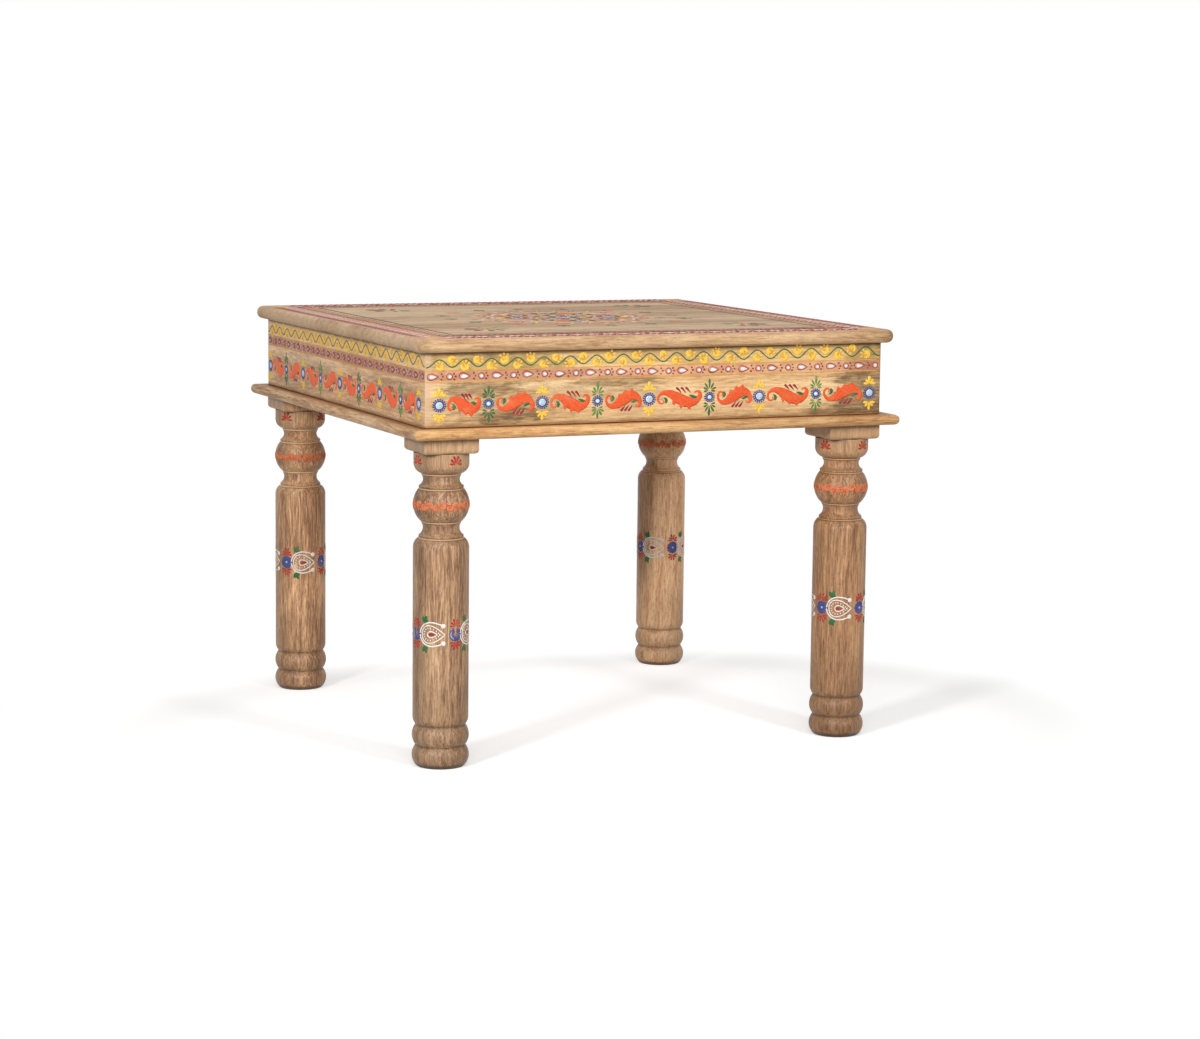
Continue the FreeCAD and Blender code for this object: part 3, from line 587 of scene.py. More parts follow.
for number in range(1, BOARD_COUNT + 1):
    name = f"top_wood_{number}"
    material = wood_material(name, TOP_TONES, 0, 10 + number, top_dress, smooth=0.6, shine=0.14)
    set_material(f"top_board_{number}", material)
for number, side in enumerate(SIDES):
    grain = number % 2
    tones = tinted(APRON_TONES, LEFT_APRON_TINT if side == "left" else PLAIN_TINT)
    material = wood_material(f"apron_wood_{side}", tones, grain, 20 + number, apron_dress(side))
    set_material(f"apron_{side}", material)
    tones = tinted(RAIL_TONES, LEFT_RAIL_TINT if side == "left" else PLAIN_TINT)
    name = f"rail_wood_{side}"
    material = wood_material(name, tones, grain, 30 + number, rail_dress, FIRM_LINE_SHARE, RAIL_FLECKS)
    set_material(f"base_rail_{side}", material)
    material = wood_material(f"cleat_wood_{side}", INNER_TONES, grain, 40 + number, smooth=0.7)
    set_material(f"top_cleat_{side}", material)
for number, corner in enumerate(CORNERS):
    tones = tinted(LEG_TONES, LEG_TINTS_AND_LIGHT[corner])
    dress = leg_dress(SHADED_SIDE_SENSES[corner])
    material = wood_material(
        f"leg_wood_{corner}", tones, 2, 50 + number, dress, FIRM_LINE_SHARE, LEG_FLECKS,
        smooth=0.44, shine=0.38, highlight_rings_down=LEG_HIGHLIGHT_RINGS_DOWN
    )
    set_material(f"leg_{corner}", material)
    material = wood_material(f"block_wood_{corner}", INNER_TONES, 0, 60 + number, smooth=0.7)
    set_material(f"corner_block_{corner}", material)
for number, name in enumerate(("leg_hanger_bolts", "leg_washers", "leg_nuts")):
    set_material(name, steel_material(f"steel_{name}", STEEL_TONE, 1.3 + number))
SCREWS = ("top_cleat_screws", "apron_cleat_screws", "corner_block_screws", "base_rail_screws")
for number, name in enumerate(SCREWS):
    set_material(name, steel_material(f"steel_{name}", SCREW_TONE, 4.1 + number))

PAINT_COLOURS = {
    "green": (44, 104, 58),
    "leaf": (78, 136, 70),
    "yellow": (242, 199, 76),
    "ochre": (218, 158, 66),
    "orange": (226, 90, 46),
    "flame": (214, 122, 82),
    "ember": (196, 94, 58),
    "blue": (48, 78, 138),
    "pale_blue": (176, 206, 230),
    "red": (150, 40, 52),
    "scarlet": (190, 58, 48),
    "maroon": (136, 60, 66),
    "rose": (210, 150, 140),
    "white": (238, 230, 222),
    "slate": (72, 74, 60),
    "umber": (180, 118, 64),
    "blaze": (250, 106, 62),
    "olive": (100, 98, 42),
    "iris": (76, 80, 134),
}
PAINTS = {
    name: paint_material(f"paint_{name}", colour, APRON_TONES[1], 1.0 + index)
    for index, (name, colour) in enumerate(PAINT_COLOURS.items())
}

# Paint marks
PAINT_LIFT = 0.28
PAINT_SINK = 0.06
# Section of a stroke: shares of its half width, and of its height there
STROKE_SHARES = (-1.0, -0.72, 0.0, 0.72, 1.0)
STROKE_HEIGHTS = (0.0, 0.7, 1.0, 0.7, 0.0)
# Rings of a filled shape: share of its outline, and of its height there
BLOB_RINGS = ((1.0, 0.0), (0.84, 0.75))


class PaintLayer:
    """Raised paint on one surface. A mark is laid out flat, right and up in millimetres, and then placed."""

    def __init__(self, place, seed):
        self.place = place
        self.points = []
        self.faces = []
        self.tones = []
        self.draw = random.Random(seed)

    def vary(self, value, share=0.08):
        return value * self.draw.uniform(1 - share, 1 + share)

    def nudge(self, reach=0.3):
        return self.draw.uniform(-reach, reach)

    def add(self, points, faces, tone):
        start = len(self.points)
        self.points += [self.place(*point) for point in points]
        self.faces += [[start + index for index in face] for face in faces]
        self.tones += [tone] * len(faces)

    def stroke(self, path, tone, lift=PAINT_LIFT, level=0.0, closed=False):
        """A rounded stroke; each point of the path is right, up and width."""
        count = len(path)
        ring = len(STROKE_SHARES)
        points = []
        for index, (right, up, width) in enumerate(path):
            before = path[(index - 1) % count if closed else max(index - 1, 0)]
            after = path[(index + 1) % count if closed else min(index + 1, count - 1)]
            run, rise = after[0] - before[0], after[1] - before[1]
            length = hypot(run, rise) or 1.0
            for share, height in zip(STROKE_SHARES, STROKE_HEIGHTS):
                side = -share * width / 2
                raised = level - PAINT_SINK + height * (lift + PAINT_SINK)
                points.append((right - rise / length * side, up + run / length * side, raised))
        faces = []
        for index in range(count if closed else count - 1):
            here, there = index * ring, (index + 1) % count * ring
            for step in range(ring):
                turn = (step + 1) % ring
                faces.append((here + step, there + step, there + turn, here + turn))
        if not closed:
            last = (count - 1) * ring
            faces.append(tuple(range(ring)))
            faces.append(tuple(last + step for step in reversed(range(ring))))
        self.add(points, faces, tone)

    def blob(self, outline, tone, lift=PAINT_LIFT, level=0.0):
        """A filled shape, thickest in the middle."""
        pairs = zip(outline, outline[1:] + outline[:1])
        area = sum(here[0] * there[1] - there[0] * here[1] for here, there in pairs)
        outline = outline if area > 0 else outline[::-1]
        count = len(outline)
        middle_x, middle_y = (sum(point[axis] for point in outline) / count for axis in (0, 1))
        points = []
        for share, height in BLOB_RINGS:
            raised = level - PAINT_SINK + height * (lift + PAINT_SINK)
            for x, y in outline:
                points.append((middle_x + (x - middle_x) * share, middle_y + (y - middle_y) * share, raised))
        points.append((middle_x, middle_y, level + lift))
        faces = [tuple(reversed(range(count)))]
        for step in range(count):
            turn = (step + 1) % count
            faces.append((step, turn, count + turn, count + step))
            faces.append((count + step, count + turn, 2 * count))
        self.add(points, faces, tone)

    def piece(self, name):
        mesh = bpy.data.meshes.new(name)
        mesh.from_pydata(self.points, [], self.faces)
        used = sorted(set(self.tones))
        for tone in used:
            mesh.materials.append(PAINTS[tone])
        for polygon, tone in zip(mesh.polygons, self.tones):
            polygon.material_index = used.index(tone)
            polygon.use_smooth = True
        mesh.update()
        made = bpy.data.objects.new(name, mesh)
        scene.collection.objects.link(made)
        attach(made, "root")


def between(share, before, start, end, after):
    """A smooth value from start to end, led by the values before and after."""
    square = (2 * before - 5 * start + 4 * end - after) * share * share
    cube = (3 * start - before - 3 * end + after) * share ** 3
    return 0.5 * (2 * start + (end - before) * share + square + cube)


def smooth_path(points, steps):
    """A smooth curve through points of any number of values."""
    last = len(points) - 1
    curve = []
    for span in range(last):
        near = [points[min(max(span + offset, 0), last)] for offset in (-1, 0, 1, 2)]
        for step in range(steps):
            curve.append(tuple(between(step / steps, *values) for values in zip(*near)))
    curve.append(tuple(points[-1]))
    return curve


def spot(right, up, turn=0.0, size=1.0, long_share=1.0, flip=1.0):
    """Moves a motif's own points to a place on the surface."""
    cosine, sine = cos(turn) * size, sin(turn) * size

    def put(x, y):
        x, y = x * long_share, y * flip
        return right + x * cosine - y * sine, up + x * sine + y * cosine

    return put


def angle_of(step, count, shift=0.0):
    """The angle of one of several places round a circle."""
    return tau * (step + shift) / count


def polar(radius, angle):
    return radius * cos(angle), radius * sin(angle)


def round_outline(put, radius, count=20, x=0.0, y=0.0):
    angles = [angle_of(step, count) for step in range(count)]
    return [put(x + radius * cos(angle), y + radius * sin(angle)) for angle in angles]


# A drop's width over the width of the curve that it is drawn from
DROP_WIDTH_SHARE = 1.54


def drop_outline(put, length, width, count=18, start=0.0):
    """A drop with its point at the start and its round end to the right."""
    outline = []
    for step in range(count):
        angle = angle_of(step, count)
        x = start + length * (1 - cos(angle)) / 2
        outline.append(put(x, width / DROP_WIDTH_SHARE * sin(angle) * sin(angle / 2)))
    return outline


def leaf_outline(put, length, width, count=16, start=0.0):
    """A leaf with a point at each end."""
    outline = []
    for step in range(count):
        angle = angle_of(step, count)
        x = start + length * (1 - cos(angle)) / 2
        outline.append(put(x, width / 2 * sin(angle) * abs(sin(angle)) ** 0.5))
    return outline


def comma(layer, put, points, tone, lift=PAINT_LIFT):
    """A brush stroke that swells and thins; points are right, up and width."""
    layer.stroke([put(x, y) + (width,) for x, y, width in smooth_path(points, 4)], tone, lift)


LINE_STEPS = 60


def straight_line(layer, start, end, up, width, tone):
    path = []
    for step in range(LINE_STEPS + 1):
        right = start + (end - start) * step / LINE_STEPS
        path.append((right, up + layer.nudge(0.15), layer.vary(width, 0.18)))
    layer.stroke(path, tone, PAINT_LIFT * 0.7)


def fan(layer, right, up, turn, petals, tone, size=1.0, start=0.0):
    """Petals that spread from one point; each has an angle, a length and a width."""
    for angle, length, width in petals:
        put = spot(right, up, turn + radians(angle) + layer.nudge(0.05), size)
        layer.blob(drop_outline(put, layer.vary(length) - start, layer.vary(width), 14, start), tone)


PETAL_SHARE = 0.72
HEART_LIFT = 0.2
HEART_STEP = 0.16


def tick_flower(layer, right, up, size, flower, tone="blue"):
    """A round flower: a ring of short petals and circles of paint inside it."""
    count, inner, outer, hearts = flower
    turn = layer.nudge(0.2)
    width = tau * outer / count * PETAL_SHARE
    for step in range(count):
        put = spot(right, up, turn + angle_of(step, count), size)
        layer.blob(drop_outline(put, layer.vary(outer - inner, 0.1), width, 10, inner), tone)
    put = spot(right, up, 0.0, size)
    for number, (radius, heart_tone) in enumerate(hearts):
        layer.blob(round_outline(put, radius), heart_tone, HEART_LIFT, HEART_STEP * number)


YELLOW_FAN = ((-88, 7.4, 3.2), (-46, 7.0, 3.1), (0, 9.2, 3.6), (46, 7.0, 3.1), (88, 7.4, 3.2))
GREEN_FAN = (
    (-98, 6.6, 2.1), (-64, 8.0, 2.2), (-32, 9.8, 2.3), (0, 13.0, 2.6),
    (32, 9.8, 2.3), (64, 8.0, 2.2), (98, 6.6, 2.1),
)
# Flowers: count of petals, inner and outer radius, and circles with their radius and tone
WIDE_FLOWER = (16, 5.0, 7.7, ((5.7, "blue"), (4.0, "white"), (3.2, "pale_blue")))
SMALL_FLOWER = (14, 3.6, 6.3, ((4.3, "blue"), (2.5, "pale_blue"), (1.7, "white")))
TOP_HEARTS = ((5.4, "slate"), (4.2, "white"), (2.6, "blue"))
TOP_FLOWER = (16, 5.0, 7.7, TOP_HEARTS)
TOP_SMALL_FLOWER = (14, 4.4, 7.0, TOP_HEARTS)

# Curled leaf: right, up and width along its body and its strokes
SCROLL_PATH = (
    (-18.4, -1.6, 1.2), (-17.2, -4.2, 1.8), (-20.6, -5.8, 2.3), (-23.8, -2.4, 2.7), (-22.6, 3.2, 3.2),
    (-17.0, 6.2, 5.8), (-9.6, 4.6, 9.4), (-2.2, 0.4, 12.8), (5.3, -3.4, 13.4), (12.8, -4.8, 11.4),
    (19.0, -2.4, 8.2), (22.8, 2.8, 5.4), (21.4, 7.0, 3.2), (17.8, 7.0, 1.8), (16.9, 5.2, 0.9),
)
SCROLL_LENGTH = 50.0
LEFT_SCROLL_LEAF = ((-17.2, 0.4, 1.0), (-15.4, -0.6, 2.8), (-14.4, -3.0, 3.6), (-15.6, -5.6, 1.6))
RIGHT_SCROLL_LEAF = ((10.6, 2.8, 0.8), (13.4, 2.2, 2.8), (16.6, 0.8, 3.6), (19.2, 1.0, 1.2))
RED_STROKE = ((0.0, 11.6, 2.6), (1.6, 10.6, 2.8), (3.8, 8.4, 1.9), (5.8, 5.8, 0.6))
RED_STROKE_PLACES = (-4.0, 1.2, 6.4)
# Pointed tips under a curled leaf: right, up, angle and length
SCROLL_TIPS = ((-3.0, -2.0, -132, 6.8), (4.5, -5.0, -120, 7.0), (11.5, -6.5, -96, 6.2))
# Sections of a tip: share of its length, turn and width
TIP_SECTIONS = ((0.0, 0.0, 9.0), (0.55, 0.0, 5.6), (1.0, 0.25, 0.4))


def scroll(layer, right, up, length, flip, body_share, tone):
    """A curled leaf with pointed lobes below, two green leaves in its curls and three red strokes above."""
    put = spot(right, up + layer.nudge(0.4), layer.nudge(0.02), 1.0, length / SCROLL_LENGTH, flip)
    comma(layer, put, [(x, y, width * body_share) for x, y, width in SCROLL_PATH], tone, 0.34)
    for x, y, angle, reach in SCROLL_TIPS:
        tilt = radians(angle) + layer.nudge(0.1)
        reach = layer.vary(reach)
        tip = []
        for share, turn, width in TIP_SECTIONS:
            off_x, off_y = polar(share * reach, tilt + turn)
            tip.append((x + off_x, y + off_y, width))
        comma(layer, put, tip, tone, 0.3)
    comma(layer, put, LEFT_SCROLL_LEAF, "green", 0.36)
    comma(layer, put, RIGHT_SCROLL_LEAF, "green", 0.42)
    for start in RED_STROKE_PLACES:
        comma(layer, put, [(start + x, y, width) for x, y, width in RED_STROKE], "red", 0.3)


# Crescents of a rose: radius and width as shares of its size, start, and sweep in degrees
ROSE_CRESCENTS = ((0.31, 0.4, 0.0, 255), (0.1, 0.17, 2.4, 200))
ROSE_STEPS = 10
ROSE_PETAL_ANGLES = (245, 287, 329)


def rose(layer, right, up, size, turn, tone="yellow", inner="ochre"):
    """A small rose: a thick crescent and a short one on a round heart, with three petals at its back."""
    layer.blob(round_outline(spot(right, up), size * 0.34, 14), inner, 0.22)
    for radius, width, start, sweep in ROSE_CRESCENTS:
        path = []
        for step in range(ROSE_STEPS + 1):
            x, y = polar(size * radius, turn + start + radians(sweep) * step / ROSE_STEPS)
            swell = sin(pi * (step + 0.9) / (ROSE_STEPS + 1.8))
            path.append((right + x, up + y, size * width * swell + 0.3))
        layer.stroke(path, tone, 0.36)
    for angle in ROSE_PETAL_ANGLES:
        put = spot(right, up, turn + radians(angle))
        layer.blob(drop_outline(put, size * 0.36, size * 0.26, 10, size * 0.3), tone, 0.26)


FLOWER_PLACES = {
    "front": (15.5, 68.9, 127.9, 189.6, 248.1, 317.5, 375.7, 442.8, 507.4),
    "right": (13.0, 70.5, 131.0, 192.0, 252.5, 314.0, 378.5, 441.0, 506.0),
    "back": (16.0, 66.5, 126.0, 188.5, 250.0, 315.5, 374.0, 445.0, 504.5),
    "left": (8.8, 68.0, 129.0, 190.6, 255.7, 318.6, 384.8, 448.7, 502.2),
}
FLOWER_DOWN = 57.2
YELLOW_FAN_REACH = 10.6
GREEN_FAN_REACH = 7.6
SCROLL_MARGIN = 8.8
WAVE_DOWN = 12.2
WAVE_RISE = 2.4
WAVE_REACH = 4.1
WAVE_REACH_GROWTH = 1.3
WAVE_WIDTH = 1.3
WAVE_STEPS = 340
WAVE_FIRST, WAVE_PITCH, WAVE_GROWTH = 15.5, 27.8, 0.162
CREST_COUNT = 18
ROSE_SIZE = 10.6
# How far roses lie from the middle of the wave, under a crest and over a hollow
CREST_SHIFT, HOLLOW_SHIFT = -3.2, 3.4
BEAD_COUNT = 15
DROP_FIRST, DOT_FIRST, DROP_PITCH = 8.5, 26.2, 34.78
BEAD_DOWN = 26.0
# Layers of a bead drop: place of its point, sink, length, width, points, lift and level
BEAD_DROPS = (
    (6.8, 0.0, 13.6, 8.2, 22, 0.24, 0.0),
    (5.4, 0.0, 11.2, 6.2, 20, 0.2, 0.2),
    (4.0, 0.2, 8.0, 3.9, 16, 0.18, 0.36),
)
# Layers of a bead dot: radius, points, shift, lift and level
BEAD_DOTS = ((3.8, 20, 0.0, 0.24, 0.0), (2.9, 20, 0.0, 0.2, 0.2), (1.8, 14, 0.3, 0.16, 0.36))
# Small red marks between the beads: places along, shifts up, and how far the middle one stands out
MARK_PLACES = (9.4, 22.8)
MARK_SHIFTS = (-3.1, 0.0, 3.1)
MARK_BULGE = 1.6
# Thin lines of the apron: place down, width and tone
APRON_LINES = (
    (BEAD_BAND[0], 1.1, "ochre"),
    (BEAD_BAND[1], 1.1, "ochre"),
    (LAYOUT_HEIGHT - 1.0, 1.0, "umber"),
)


def wave_middle(right):
    return WAVE_RISE * right / LAYOUT_LENGTH - WAVE_DOWN


def wave_turns(right):
    """How many crests lie to the left of a place; the crests draw a little apart along the board."""
    root = sqrt(WAVE_PITCH ** 2 - 4 * WAVE_GROWTH * (WAVE_FIRST - right))
    return (root - WAVE_PITCH) / (2 * WAVE_GROWTH)


def apron_paint(side, seed):
    """The painted bands of one apron board, from its left end."""
    board_turn = Matrix.Rotation(SIDES.index(side) * pi / 2, 3, "Z")
    board_start = Vector((-APRON_FACE, -APRON_FACE, APRON_TOP))
    right_scale = APRON_LENGTH / LAYOUT_LENGTH * MM
    up_scale = APRON_HEIGHT / LAYOUT_HEIGHT * MM
    is_left = side == "left"

    def place(right, up, height):
        return board_turn @ (board_start + Vector((right * right_scale, -height * MM, up * up_scale)))

    layer = PaintLayer(place, seed)
    # Wave line with roses above and below it
    path = []
    for step in range(WAVE_STEPS + 1):
        right = 1.0 + (LAYOUT_LENGTH - 2.0) * step / WAVE_STEPS
        reach = WAVE_REACH + WAVE_REACH_GROWTH * right / LAYOUT_LENGTH
        up = wave_middle(right) + reach * cos(tau * wave_turns(right))
        path.append((right, up, layer.vary(WAVE_WIDTH, 0.12)))
    layer.stroke(path, "olive" if is_left else "green", 0.4)
    for crest in range(CREST_COUNT):
        right = WAVE_FIRST + WAVE_PITCH * crest + WAVE_GROWTH * crest ** 2
        hollow = right + WAVE_PITCH / 2 + WAVE_GROWTH * crest
        for rose_place, shift in ((right, CREST_SHIFT), (hollow, HOLLOW_SHIFT)):
            if rose_place < LAYOUT_LENGTH - 5:
                size = layer.vary(ROSE_SIZE)
                rose_right = rose_place + layer.nudge(0.6)
                rose_up = wave_middle(rose_place) + shift + layer.nudge()
                rose(layer, rose_right, rose_up, size, layer.nudge(pi))
    # Bead band between two thin lines
    for down, width, tone in APRON_LINES:
        straight_line(layer, 0.6, LAYOUT_LENGTH - 0.6, -down, width, tone)
    bead_tones = ("maroon", "maroon", "rose") if is_left else ("maroon", "rose", "white")
    for step in range(BEAD_COUNT):
        right = DROP_FIRST + DROP_PITCH * step + layer.nudge(0.6)
        up = -BEAD_DOWN + layer.nudge()
        turns = (pi + layer.nudge(0.06), pi, pi)
        for turn, tone, drop in zip(turns, bead_tones, BEAD_DROPS):
            point, sink, length, width, count, lift, level = drop
            put = spot(right + point, up - sink, turn)
            layer.blob(drop_outline(put, length, width, count), tone, lift, level)
        right = DOT_FIRST + DROP_PITCH * step + layer.nudge(0.6)
        if right < LAYOUT_LENGTH - 4:
            for tone, (radius, count, shift, lift, level) in zip(bead_tones, BEAD_DOTS):
                layer.blob(round_outline(spot(right, up), radius, count, shift, -shift), tone, lift, level)
        for mark_place in MARK_PLACES:
            for shift in MARK_SHIFTS:
                bulge = MARK_BULGE if shift == 0 else 0.0
                right = DROP_FIRST + DROP_PITCH * step + mark_place + bulge
                if right < LAYOUT_LENGTH - 2:
                    put = spot(right + layer.nudge(), up + shift + layer.nudge(0.2))
                    layer.blob(round_outline(put, layer.vary(1.1, 0.15), 10), "red", 0.26)
    # Flowers and curled leaves
    flower_places = FLOWER_PLACES[side]
    body_share, scroll_tone = (1.1, "blaze") if is_left else (1.0, "orange")
    for index, right in enumerate(flower_places):
        up = -FLOWER_DOWN + layer.nudge(0.5)
        is_wide = index % 2 == 0
        tick_flower(layer, right, up, 1.0, WIDE_FLOWER if is_wide else SMALL_FLOWER)
        for sense in (1, -1):
            if is_wide:
                fan(layer, right, up + sense * YELLOW_FAN_REACH, sense * pi / 2, YELLOW_FAN, "yellow")
            else:
                tone = "green" if index % 4 == 1 else "leaf"
                fan(layer, right, up + sense * GREEN_FAN_REACH, sense * pi / 2, GREEN_FAN, tone, 1.0, 1.4)
        if index + 1 < len(flower_places):
            following = flower_places[index + 1]
            length = following - right - 2 * SCROLL_MARGIN
            flip = 1.0 if is_wide else -1.0
            scroll(layer, (right + following) / 2, -FLOWER_DOWN, length, flip, body_share, scroll_tone)
    layer.piece(f"apron_{side}_paint")


for number, side in enumerate(SIDES):
    apron_paint(side, 100 + number)


# Legs: height of each leg's painted band, and the angle of its first flower in degrees
LEG_BANDS = {
    "front_left": (140.5, -79),
    "front_right": (142.0, -66),
    "back_right": (145.3, -84),
    "back_left": (150.0, -52),
}
BULB_BAND = 271.5
BULB_ROSES = 26
BULB_ROSE_SIZE = 8.4
DISC_FAN = 314.0
# Turned surfaces have radii between these; the square block has others
LEAST_RADIUS, GREATEST_RADIUS = 15, 31
RED_FAN = ((-84, 5.6, 1.7), (-50, 6.4, 1.8), (-17, 7.6, 1.9), (17, 7.6, 1.9), (50, 6.4, 1.8), (84, 5.6, 1.7))
RED_FAN_REACH = 8.0
STAR_PETALS = 12
STAR_RADIUS = 7.6
STAR_LINE = ((-4.4, 3.2, 0.5), (-5.4, 0.2, 1.1), (-4.4, -3.0, 1.1), (-1.8, -5.0, 0.5))
# Open line round the upper half of a drop, from its end dot to its back
DROP_LINE = ((11.6, 9.0), (6.0, 11.2), (-1.6, 12.3), (-8.4, 10.2), (-12.8, 5.4), (-14.2, 0.6))
# Leaves at the back of a drop: angle and length
DROP_LEAVES = ((70, 8.4), (105, 7.2), (40, 5.52))
DROP_LEAF_PLACE = (-8.6, 11.6)
# Closed lines of a drop: place of its point, length, width, points and width of the line
DROP_RINGS = ((13.3, 24.8, 18.2, 34, 1.3), (5.6, 10.6, 6.4, 20, 1.2))
WHITE_LIFT = 0.34
DROP_BEFORE_SHARE = 0.552


def leg_profile(node):
    """Heights and radii of a leg's turned rings, in millimetres, and its centre."""
    low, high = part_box(node.name)
    centre = Vector(((low.x + high.x) / 2, (low.y + high.y) / 2, 0.0))
    rings = {}
    for vertex in node.data.vertices:
        radius = hypot(vertex.co.x - centre.x, vertex.co.y - centre.y) / MM
        height = round(vertex.co.z / MM, 2)
        if LEAST_RADIUS < radius < GREATEST_RADIUS:
            rings[height] = max(radius, rings.get(height, 0.0))
    heights = sorted(rings)
    return centre, heights, [rings[height] for height in heights]


def star_flower(layer, right, up, is_open):
    """A blue flower of broad petals; an open one has a gap at its top and a pale line on one side."""
    for step in range(STAR_PETALS):
        angle = 360 * step / STAR_PETALS
        if is_open and angle == 90:
            continue
        put = spot(right, up, radians(angle) + layer.nudge(0.05))
        start = 1.7 if is_open else 2.2
        width = 2.0 if is_open and angle in (60, 120) else 3.8
        layer.blob(drop_outline(put, layer.vary(STAR_RADIUS - start, 0.05), width, 12, start), "iris")
    put = spot(right, up)
    if is_open:
        comma(layer, put, STAR_LINE, "pale_blue", 0.4)
    else:
        layer.blob(round_outline(put, 3.6), "iris", 0.26)
        layer.blob(round_outline(put, 1.3, 12), "pale_blue", 0.2, 0.22)


def red_fan(layer, right, up, turn, size):
    """A fan of red petals with dark ends."""
    fan(layer, right, up, turn, RED_FAN, "scarlet", size, 0.6)
    for angle, length, width in RED_FAN:
        put = spot(right, up, turn + radians(angle), size)
        layer.blob(round_outline(put, width * 0.4, 10, length * 0.78), "red", 0.18, 0.24)


def white_drop(layer, right, up):
    """A white drop with its point to the right, an open line round it and green leaves at its back."""

    def closed_line(point, length, width, count, line_width):
        outline = drop_outline(spot(right + point, up, pi), length, width, count)
        layer.stroke([place + (line_width,) for place in outline], "white", WHITE_LIFT, 0.0, True)

    for sense in (1.0, -1.0):
        put = spot(right, up, 0.0, 1.0, 1.0, sense)
        path = [put(x, y) + (layer.vary(1.6),) for x, y in smooth_path(DROP_LINE, 5)]
        layer.stroke(path, "white", WHITE_LIFT)
        layer.blob(round_outline(put, 2.6, 14, *DROP_LINE[0]), "white", 0.42)
        for angle, length in DROP_LEAVES:
            leaf = spot(*put(*DROP_LEAF_PLACE), sense * radians(angle))
            layer.blob(leaf_outline(leaf, length, 3.8, 12), "green")
    closed_line(*DROP_RINGS[0])
    for dash in drop_outline(spot(right + 8.6, up, pi), 17.4, 12.2, 18)[1:]:
        away = atan2(dash[1] - up, dash[0] - right)
        layer.blob(drop_outline(spot(*dash, away), 2.0, 1.3, 10, -1.0), "white")
    closed_line(*DROP_RINGS[1])
    layer.blob(drop_outline(spot(right + 3.6, up, pi), 7.4, 3.6, 14), "red", 0.18)


def leg_paint(corner, seed):
    """Painted band, vine and fans of one leg. Right runs round the leg."""
    centre, heights, radii = leg_profile(nodes[f"leg_{corner}"])

    def radius_at(height):
        index = min(max(bisect.bisect_left(heights, height), 1), len(heights) - 1)
        low, high = heights[index - 1], heights[index]
        share = min(max((height - low) / (high - low), 0.0), 1.0)
        return radii[index - 1] + (radii[index] - radii[index - 1]) * share

    band, first_angle = LEG_BANDS[corner]
    shaft_radius = radius_at(band)

    def place(right, up, height):
        x, y = polar((radius_at(up) + height) * MM, right / shaft_radius)
        return centre + Vector((x, y, up * MM))

    layer = PaintLayer(place, seed)
    quarter = shaft_radius * pi / 2
    first = radians(first_angle) * shaft_radius
    for step in range(4):
        right = first + quarter * step
        star_flower(layer, right, band, corner == "front_left")
        for sense in (1.0, -1.0):
            red_fan(layer, right, band + sense * RED_FAN_REACH, sense * pi / 2, 1.14)
        white_drop(layer, right - quarter * DROP_BEFORE_SHARE, band)
        red_fan(layer, right, DISC_FAN, pi / 2, 1.3)
    # Band of small roses on the bulb
    for step in range(BULB_ROSES):
        right = first + 4 * quarter * step / BULB_ROSES + layer.nudge(0.6)
        shift = 0.9 if step % 2 == 0 else -0.9
        up = BULB_BAND + shift + layer.nudge(0.4)
        rose(layer, right, up, layer.vary(BULB_ROSE_SIZE, 0.12), layer.nudge(pi), "flame", "ember")
    layer.piece(f"leg_{corner}_paint")


for number, corner in enumerate(CORNERS):
    leg_paint(corner, 200 + number)


# Ropes of the border, front and back and on the sides: pitch, half length, width share and lift of a strand
LONG_ROPE = (7.4, 3.4, 1.0, 0.65)
SIDE_ROPE = (10.6, 4.6, 0.7, 0.28)
ROPE_REACH = 230.0
# Two ropes, each with its place in from the edge and the way it leans
ROPE_ROWS = ((14.0, 1.0), (39.0, -1.0))
STRAND_RISE = 3.8
STRAND_SECTIONS = ((-1.0, 2.8), (0.0, 5.0), (1.0, 2.8))
LEAF_ROW, LEAF_PITCH, LEAF_REACH = 26.5, 17.4, 13
DOT_ROW, DOT_PITCH, DOT_REACH = BORDER_END + 3.4, 5.0, 44
# Lines of the border: place in from the edge, width and tone
BORDER_LINES = ((BORDER_START, 1.6, "rose"), (BORDER_END, 1.6, "ochre"), (FRAME_LINE, 4.4, "slate"))
# Leaf on a corner: angle, length and width of its petals
CORNER_LEAF = ((0, 22.0, 8.0), (42, 14.0, 6.0), (-42, 14.0, 6.0))
CORNER_LEAF_PLACE = 26
# Spray in a corner of the field: angle, length and tone of its petals, and angles of its leaves
FIELD_SPRAY = ((0, 26, "red"), (34, 22, "green"), (-34, 22, "green"), (68, 18, "red"), (-68, 18, "red"))
FIELD_LEAVES = (130, 180, 230)
FIELD_PLACE = 148.0
# Medallion: radii of its flowers and sprays
FLOWER_RING = 58
FLOWER_FAN_REACH = 15
SPRAY_RING = 134
SPRAY_FAN = ((-38, 12.0, 4.6), (0, 17.0, 5.2), (38, 12.0, 4.6))
SPRAY_TONES = ("leaf", "green", "flame", "green")
